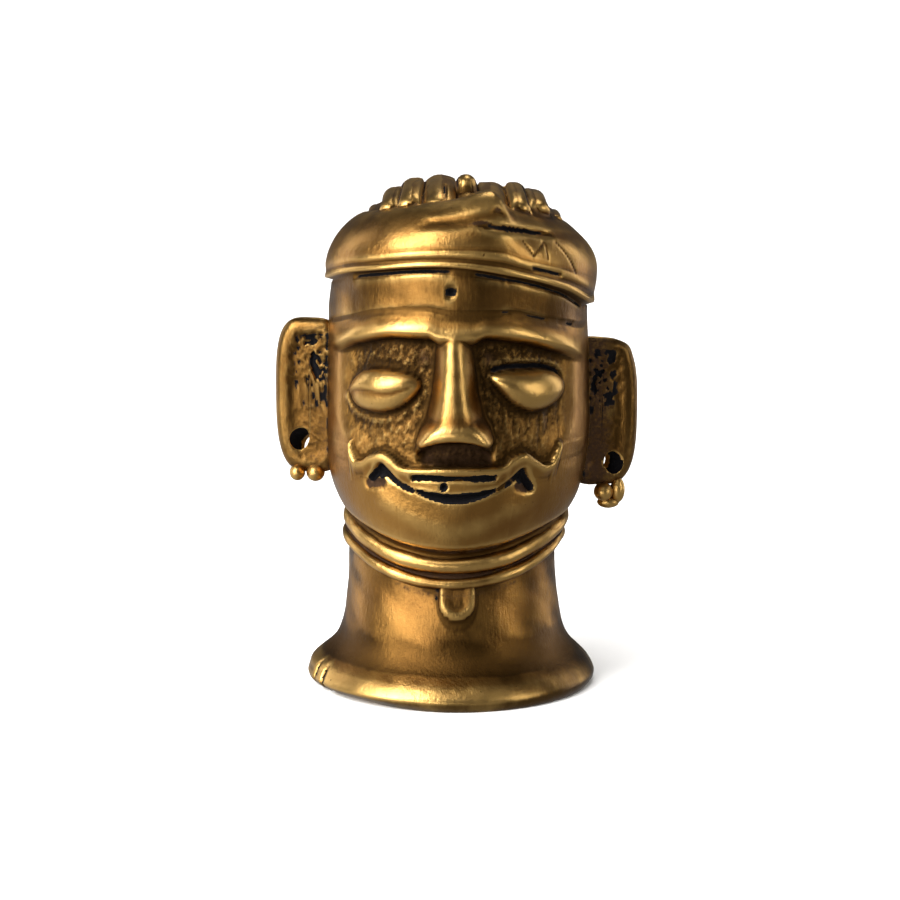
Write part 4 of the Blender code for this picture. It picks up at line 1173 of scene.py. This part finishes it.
def lock_paths():
    """The locks of hair, each a path from front to back over the crown with its thickness."""
    paths = []
    for middle, half, height in LOCKS:
        reach = math.sqrt((LIP_RADIUS - 0.6) ** 2 - middle**2)
        y = reach * np.sin(np.linspace(-math.pi / 2, math.pi / 2, LOCK_POINTS))
        x = across_head(middle, y)
        drop = 1 - np.clip((reach + 0.2 - np.abs(y)) / 3.2, 0, 1)
        top = dome_height(x, y) + LOCK_RISE * height * np.sqrt(1 - drop**2) + LOCK_STANDS_OUT
        slope = np.gradient(top, y)
        length = np.sqrt(1 + slope**2)
        z = top - half / length
        end = np.clip((reach - np.abs(y)) / (0.5 * half), 0, 1)
        thick = half * np.clip(np.sqrt(1 - (1 - end) ** 2), 0.12, 1)
        x, y = x + through(LEAN, z), y + half * slope / length
        paths.append(np.column_stack([x, y, z * UNIT, thick]))
    return paths


# The core inside: its plate below the foot, the heights of its rings, the shoulder from which it
# closes in a dome, the small flat on top, what it stays clear of the wall there, and the points
# round it.
CORE_PLATE = 6.0
CORE_HEIGHTS = [4.5, 6.5, 8.5, 11, 15, 22, 38, 41, 45, 50, 57, 68, 76, 80]
CORE_SHOULDER = 84.0
CORE_TIP = 1.0
CORE_SLACK = 0.5
CORE_SIDES = 64


def core_radius(z):
    """The core's radius at a height: the thinnest place of the skin less the wall."""
    turn = np.linspace(-180, 180, 73)
    skin = skin_radius(turn, np.full(73, z)) - sockets(turn, np.full(73, z))
    return float(skin.min()) - WALL


def core_mesh(name, count):
    """The core: it fills the inside, comes out at the foot and ends in a plate on the ground."""
    crown = hair_height(np.zeros(1), np.zeros(1))[0] - WALL - CORE_SLACK
    profile = [(1.5 * FOOT_RADIUS, -CORE_PLATE), (1.5 * FOOT_RADIUS, 0.0)]
    profile.append((neck_radius(0.0) - FOOT_BAND, 0.0))
    profile += [(core_radius(z), z) for z in CORE_HEIGHTS]
    wide = core_radius(CORE_SHOULDER)
    for angle in np.linspace(0, 80, 12):
        lift = (crown - CORE_SHOULDER) * math.sin(math.radians(angle))
        profile.append((wide * math.cos(math.radians(angle)), CORE_SHOULDER + lift))
    profile.append((CORE_TIP, crown))
    angle = np.linspace(0, 2 * math.pi, count, endpoint=False)
    rows = []
    for radius, z in profile:
        lean = through(LEAN, np.array([z]))[0]
        x, y = lean + radius * np.cos(angle), radius * np.sin(angle)
        rows.append(np.stack([x, y, np.full(count, z * UNIT)], -1))
    return closed_mesh(name, np.array(rows))


def middle_of(meshes):
    """The middle of the box round these meshes, in X and Y."""
    points = np.array([vertex.co[:] for mesh in meshes for vertex in mesh.vertices])
    return (points.min(0)[:2] + points.max(0)[:2]) / 2


# How often a copy of the casting is smoothed to find its fine and its broad hollows, and how much
# each of them counts for the dark of the hollows and for the shine of the crests.
FINE_ROUNDS = 8
BROAD_ROUNDS = 60
RECESS_SHARES = (7.0, 0.2)
CREST_SHARES = (4.5, 0.2)


def settle(mesh):
    """Stores how far each point lies in a hollow or on a crest, at a fine and at a broad scale."""
    count = len(mesh.vertices)
    points = np.empty(count * 3)
    mesh.vertices.foreach_get("co", points)
    points = points.reshape(-1, 3) / MM
    normals = np.empty(count * 3)
    mesh.vertex_normals.foreach_get("vector", normals)
    normals = normals.reshape(-1, 3)
    ends = np.empty(len(mesh.edges) * 2, int)
    mesh.edges.foreach_get("vertices", ends)
    one, two = ends.reshape(-1, 2).T
    joined = np.bincount(one, minlength=count) + np.bincount(two, minlength=count)
    smooth = points.copy()
    for done in range(1, BROAD_ROUNDS + 1):
        total = np.empty_like(smooth)
        for axis in range(3):
            values = smooth[:, axis]
            total[:, axis] = np.bincount(one, values[two], count)
            total[:, axis] += np.bincount(two, values[one], count)
        smooth = 0.5 * smooth + 0.5 * total / joined[:, None]
        if done == FINE_ROUNDS:
            fine = ((smooth - points) * normals).sum(1)
    broad = ((smooth - points) * normals).sum(1)
    give(mesh, "recess", np.clip(RECESS_SHARES[0] * fine + RECESS_SHARES[1] * broad, 0, 1))
    give(mesh, "crest", np.clip(-CREST_SHARES[0] * fine - CREST_SHARES[1] * broad, 0, 1))


def cast(metal):
    """The whole casting in this metal as one plain mesh, and how far it was moved to the middle."""
    body = add_object("casting", body_mesh())
    tree = strand_tree()
    cords = swept("cords", cord_paths(), True, tree, metal)
    hair = swept("hair", lock_paths(), False, tree, metal)
    spots = np.array([vertex.co[:] for vertex in hair.vertices]) / MM
    hair_grime, hair_soot = crown_stains(spots)
    give(hair, "grime_and_shade", hair_grime)
    give(hair, "soot", hair_soot)
    joined, cutters = [add_object("cords", cords), add_object("hair", hair)], []
    for ear in EARS:
        joined.append(add_object(ear["name"], ear_mesh(ear)))
        for number, (spot, half) in enumerate(ear["drops"], 1):
            name = f"{ear['name']}_drop_{number}"
            joined.append(add_object(name, drop_mesh(name, on_ear(ear, spot), half)))
        cutters.append(add_object("pin", pin_mesh("pin", ear)))
    cutters.append(add_object("core", core_mesh("core", CORE_SIDES)))
    shift = middle_of([body.data] + [thing.data for thing in joined])
    for thing in [body] + joined + cutters:
        points = np.empty(len(thing.data.vertices) * 3)
        thing.data.vertices.foreach_get("co", points)
        points = points.reshape(-1, 3) - np.array([shift[0], shift[1], 0.0])
        thing.data.vertices.foreach_set("co", points.ravel())
    for things, operation in ((joined, "UNION"), (cutters, "DIFFERENCE")):
        for thing in things:
            change = body.modifiers.new(thing.name, "BOOLEAN")
            change.operation = operation
            change.solver = "MANIFOLD"
            change.object = thing
    shown = body.evaluated_get(bpy.context.evaluated_depsgraph_get())
    mesh = bpy.data.meshes.new_from_object(shown)
    for thing in [body] + joined + cutters:
        bpy.data.objects.remove(thing)
    mesh.materials.clear()
    mesh.materials.append(metal)
    mesh.polygons.foreach_set("material_index", np.zeros(len(mesh.polygons), int))
    mesh.polygons.foreach_set("use_smooth", np.ones(len(mesh.polygons), bool))
    settle(mesh)
    return add_object("mukhalinga_casting", mesh), shift


def linear(hex_colour, alpha=1.0):
    """The linear colour of an sRGB hex value."""
    values = [int(hex_colour[i : i + 2], 16) / 255 for i in (1, 3, 5)]
    flat = [v / 12.92 if v <= 0.04045 else ((v + 0.055) / 1.055) ** 2.4 for v in values]
    return (*flat, alpha)


def node(tree, kind, links=None, **settings):
    """Adds a node. settings are its own, or, by number or name in links, what its sockets take."""
    made = tree.nodes.new(kind)
    for name, value in settings.items():
        setattr(made, name, value)
    for name, value in (links or {}).items():
        socket = made.inputs[name]
        if isinstance(value, bpy.types.NodeSocket):
            tree.links.new(value, socket)
        else:
            socket.default_value = value
    return made


def clouds(tree, place, size_mm, detail=3.0, roughness=0.55):
    """A noise whose clouds are about this many millimetres across."""
    settings = {"Vector": place, "Scale": 1000 / size_mm, "Detail": detail, "Roughness": roughness}
    return node(tree, "ShaderNodeTexNoise", settings).outputs["Fac"]


def stretch(tree, value, low, high, to_low=0.0, to_high=1.0):
    """Maps low to high onto another range, with a soft start and end."""
    settings = {"Value": value, 1: low, 2: high, 3: to_low, 4: to_high}
    kind = {"interpolation_type": "SMOOTHSTEP"}
    return node(tree, "ShaderNodeMapRange", settings, **kind).outputs[0]


def blended(tree, factor, first, second):
    """A colour between first and second."""
    settings = {0: factor, 6: first, 7: second}
    return node(tree, "ShaderNodeMix", settings, data_type="RGBA").outputs[2]


def figured(tree, operation, first, second=0.0, limit=False):
    """A sum, a product or the like of two numbers, kept from 0 to 1 where limit is set."""
    settings = {0: first, 1: second}
    made = node(tree, "ShaderNodeMath", settings, operation=operation, use_clamp=limit)
    return made.outputs[0]


def aged_cast_brass():
    """Brass cast by the lost-wax way and handled for a century.

    The high places are rubbed to a warm soft gloss, and the hollows keep a brown patina. Dirt has
    set black in the cuts, reddish-brown grime clings between the locks and in the folds of the neck,
    and the brass is darker under the nose. Painted shade darkens the nooks beside the nose's root,
    the ear at +X and the foot's rim and slope.
    """
    material = bpy.data.materials.new("aged_cast_brass")
    material.use_nodes = True
    tree = material.node_tree
    shader = tree.nodes["Principled BSDF"]
    place = node(tree, "ShaderNodeTexCoord").outputs["Object"]
    seen = {}
    for name in ("recess", "crest", "soot", "grime_and_shade", "ground", "patina_and_shade"):
        seen[name] = node(tree, "ShaderNodeAttribute", attribute_name=name).outputs["Fac"]

    broad = clouds(tree, place, 22.0, 2.0)
    hung = node(tree, "ShaderNodeMapping", {"Vector": place, "Scale": (1.0, 1.0, 0.35)})
    patch = clouds(tree, hung.outputs[0], 9.0, 5.0, 0.65)
    mottle = clouds(tree, place, 5.0, 4.0, 0.6)
    speck = clouds(tree, place, 0.9, 4.0, 0.65)

    worn = blended(tree, stretch(tree, broad, 0.35, 0.68), linear("#8B6230"), linear("#A0753A"))
    rubbed = figured(tree, "ADD", seen["crest"], figured(tree, "MULTIPLY", mottle, 0.4))
    rubbed = stretch(tree, rubbed, 0.2, 0.75)
    colour = blended(tree, rubbed, worn, linear("#C9A05C"))
    # The patina mark is browner brass, and painted shade on the foot's rim and its slope at +X.
    dark = figured(tree, "ADD", seen["recess"], seen["patina_and_shade"])
    brown = figured(tree, "ADD", dark, figured(tree, "MULTIPLY", patch, 0.85))
    brown = stretch(tree, brown, 0.42, 0.95, 0.0, 0.9)
    colour = blended(tree, brown, colour, linear("#4C3416"))
    rough_cast = figured(tree, "MULTIPLY", seen["ground"], stretch(tree, speck, 0.35, 0.65, 0.98, 0.6))
    colour = blended(tree, rough_cast, colour, linear("#2B1D0D"))
    freckle = stretch(tree, speck, 0.66, 0.74)
    colour = blended(tree, figured(tree, "MULTIPLY", freckle, 0.7), colour, linear("#50361A"))
    ragged = figured(tree, "MULTIPLY", figured(tree, "SUBTRACT", speck, 0.5), 0.9)
    # The grime mark is reddish-brown grime, and in part painted shade: the nooks beside the nose's
    # root and the ear at +X.
    grime_and_shade = stretch(tree, figured(tree, "ADD", seen["grime_and_shade"], ragged), 0.3, 0.75)
    colour = blended(tree, grime_and_shade, colour, linear("#382310"))
    soot = stretch(tree, figured(tree, "ADD", seen["soot"], ragged), 0.4, 0.62)
    colour = blended(tree, soot, colour, linear("#070608"))
    tree.links.new(colour, shader.inputs["Base Color"])

    gloss = stretch(tree, mottle, 0.3, 0.7, 0.28, 0.38)
    gloss = figured(tree, "ADD", gloss, figured(tree, "MULTIPLY", seen["recess"], 0.16))
    gloss = figured(tree, "ADD", gloss, figured(tree, "MULTIPLY", grime_and_shade, 0.25))
    gloss = figured(tree, "ADD", gloss, figured(tree, "MULTIPLY", seen["ground"], 0.12))
    gloss = figured(tree, "ADD", gloss, figured(tree, "MULTIPLY", soot, 0.35), True)
    tree.links.new(gloss, shader.inputs["Roughness"])
    shine = figured(tree, "SUBTRACT", 0.5, figured(tree, "MULTIPLY", soot, 0.4), True)
    tree.links.new(shine, shader.inputs["Specular IOR Level"])
    dull = figured(tree, "SUBTRACT", 1.0, figured(tree, "MULTIPLY", soot, 0.95))
    dull = figured(tree, "SUBTRACT", dull, figured(tree, "MULTIPLY", grime_and_shade, 0.25), True)
    tree.links.new(dull, shader.inputs["Metallic"])

    turned = {"Vector": place, "Rotation": (0.3, 1.3, 0.2), "Scale": (1.0, 1.0, 0.12)}
    drawn = node(tree, "ShaderNodeMapping", turned)
    scratch = clouds(tree, drawn.outputs[0], 0.35, 3.0, 0.6)
    relief = figured(tree, "MULTIPLY", scratch, 0.35)
    relief = figured(tree, "ADD", relief, figured(tree, "MULTIPLY", speck, 0.5))
    relief = figured(tree, "ADD", relief, figured(tree, "MULTIPLY", mottle, 1.2))
    bump = node(tree, "ShaderNodeBump", {"Height": relief, "Strength": 0.6, "Distance": 0.00022})
    tree.links.new(bump.outputs[0], shader.inputs["Normal"])
    return material


def painted(name, hex_colour, roughness):
    """A matt painted board for the studio."""
    material = bpy.data.materials.new(name)
    material.use_nodes = True
    shader = material.node_tree.nodes["Principled BSDF"]
    shader.inputs["Base Color"].default_value = linear(hex_colour)
    shader.inputs["Roughness"].default_value = roughness
    return material


# The board: its sides, and its profile as (radius, height) in metres.
BOARD_SIDES = 96
BOARD_PROFILE = [(0.1, 0.0), (1.0, 0.0), (5.0, 0.0), (7.0, 0.3), (9.0, 1.3), (12.0, 4.0)]
# The light from above over the board: its power, its place in metres and its spread in degrees. The
# light of the air, what the brass sees of the board below it, which is brighter at the side at -X,
# and the height in metres that the lights are turned to.
OVERHEAD = 4.5
OVERHEAD_PLACE = (-0.5, -0.3, 1.2)
OVERHEAD_SPREAD = 70
AIR_LIGHT = 0.08
FLOOR_GLOW = 0.3
LEFT_GLOW = 0.9
LIT_HEIGHT = 0.06
# Each soft box: its place, its width and height in metres, and its power in watts.
SOFT_BOXES = [
    ("key", (-0.62, -0.52, 0.58), (0.42, 0.60), 12.0),
    ("front", (-0.12, -0.70, 0.95), (0.40, 0.25), 0.8),
    ("low", (-0.45, -0.85, 0.04), (0.60, 0.22), 2.6),
    ("left", (-0.85, -0.50, 0.10), (0.30, 0.55), 3.2),
    ("side", (0.85, -0.42, 0.28), (0.08, 0.70), 2.2),
    ("back_left", (-0.85, 0.45, 0.25), (0.25, 0.80), 2.0),
    ("back_right", (0.85, 0.45, 0.25), (0.25, 0.80), 2.0),
    ("top", (0.10, 0.35, 0.90), (0.30, 0.30), 1.5),
]


def lay_board():
    """A white board under the casting that rises all round in the distance."""
    angle = np.linspace(0, 2 * math.pi, BOARD_SIDES, endpoint=False)
    points = [(r * math.cos(a), r * math.sin(a), z) for r, z in BOARD_PROFILE for a in angle]
    faces = [tuple(range(BOARD_SIDES))]
    for row in range(len(BOARD_PROFILE) - 1):
        for side in range(BOARD_SIDES):
            a, b = row * BOARD_SIDES + side, row * BOARD_SIDES + (side + 1) % BOARD_SIDES
            faces.append((b, a, a + BOARD_SIDES, b + BOARD_SIDES))
    mesh = bpy.data.meshes.new("board")
    mesh.from_pydata(points, [], faces)
    board = add_object("board", mesh)
    board.data.materials.append(painted("white_board", "#F6F5F3", 0.9))
    board.visible_glossy = False


def light_studio():
    """Soft boxes about the casting, a wide light over the board, and the glow of the board."""
    for name, place, size, watts in SOFT_BOXES:
        light = bpy.data.lights.new(name, "AREA")
        light.shape = "RECTANGLE"
        light.size, light.size_y = size
        light.energy = watts
        hang(light, place)
    sky = bpy.data.lights.new("overhead", "SUN")
    sky.energy = OVERHEAD
    sky.angle = math.radians(OVERHEAD_SPREAD)
    hang(sky, OVERHEAD_PLACE).visible_glossy = False
    world = bpy.data.worlds.new("studio_air")
    world.use_nodes = True
    air = world.node_tree
    ways = node(air, "ShaderNodeTexCoord").outputs["Generated"]
    ways = node(air, "ShaderNodeSeparateXYZ", {"Vector": ways}).outputs
    below = stretch(air, ways["X"], -0.9, 0.1, LEFT_GLOW, FLOOR_GLOW)
    glow = stretch(air, ways["Z"], -0.25, 0.05, below, AIR_LIGHT)
    air.nodes["Background"].inputs["Color"].default_value = (1, 1, 1, 1)
    air.links.new(glow, air.nodes["Background"].inputs["Strength"])
    bpy.context.scene.world = world


def hang(light, place):
    """Hangs a light at a place, turned to the middle of the casting."""
    holder = bpy.data.objects.new(light.name, light)
    holder.location = place
    toward = Vector((0, 0, LIT_HEIGHT)) - Vector(place)
    holder.rotation_euler = toward.to_track_quat("-Z", "Y").to_euler()
    bpy.context.scene.collection.objects.link(holder)
    return holder


# The camera: its place and aim in metres, its sensor in millimetres, and the focal length and the
# width of the photograph in pixels.
CAMERA_PLACE = (0, -0.591, 0.156)
CAMERA_AIM = (0, 0, 0.05)
SENSOR = 36.0
FOCAL_PIXELS = 2797
PHOTO_PIXELS = 900


def camera(shift):
    """The photograph's view: a long lens a little above the head, 0.6 m away."""
    lens = bpy.data.cameras.new("camera")
    lens.sensor_width = SENSOR
    lens.lens = FOCAL_PIXELS / PHOTO_PIXELS * SENSOR
    lens.clip_start, lens.clip_end = 0.05, 40
    eye_point, aim = Vector(CAMERA_PLACE), Vector(CAMERA_AIM)
    holder = bpy.data.objects.new("camera", lens)
    holder.location = eye_point - Vector((shift[0], shift[1], 0))
    holder.rotation_euler = (aim - eye_point).to_track_quat("-Z", "Y").to_euler()
    bpy.context.scene.collection.objects.link(holder)
    bpy.context.scene.camera = holder
    bpy.context.scene.view_settings.view_transform = "Standard"


casting, moved = cast(aged_cast_brass())
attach(casting, "root")
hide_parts("mukhalinga")
lay_board()
light_studio()
camera(moved)
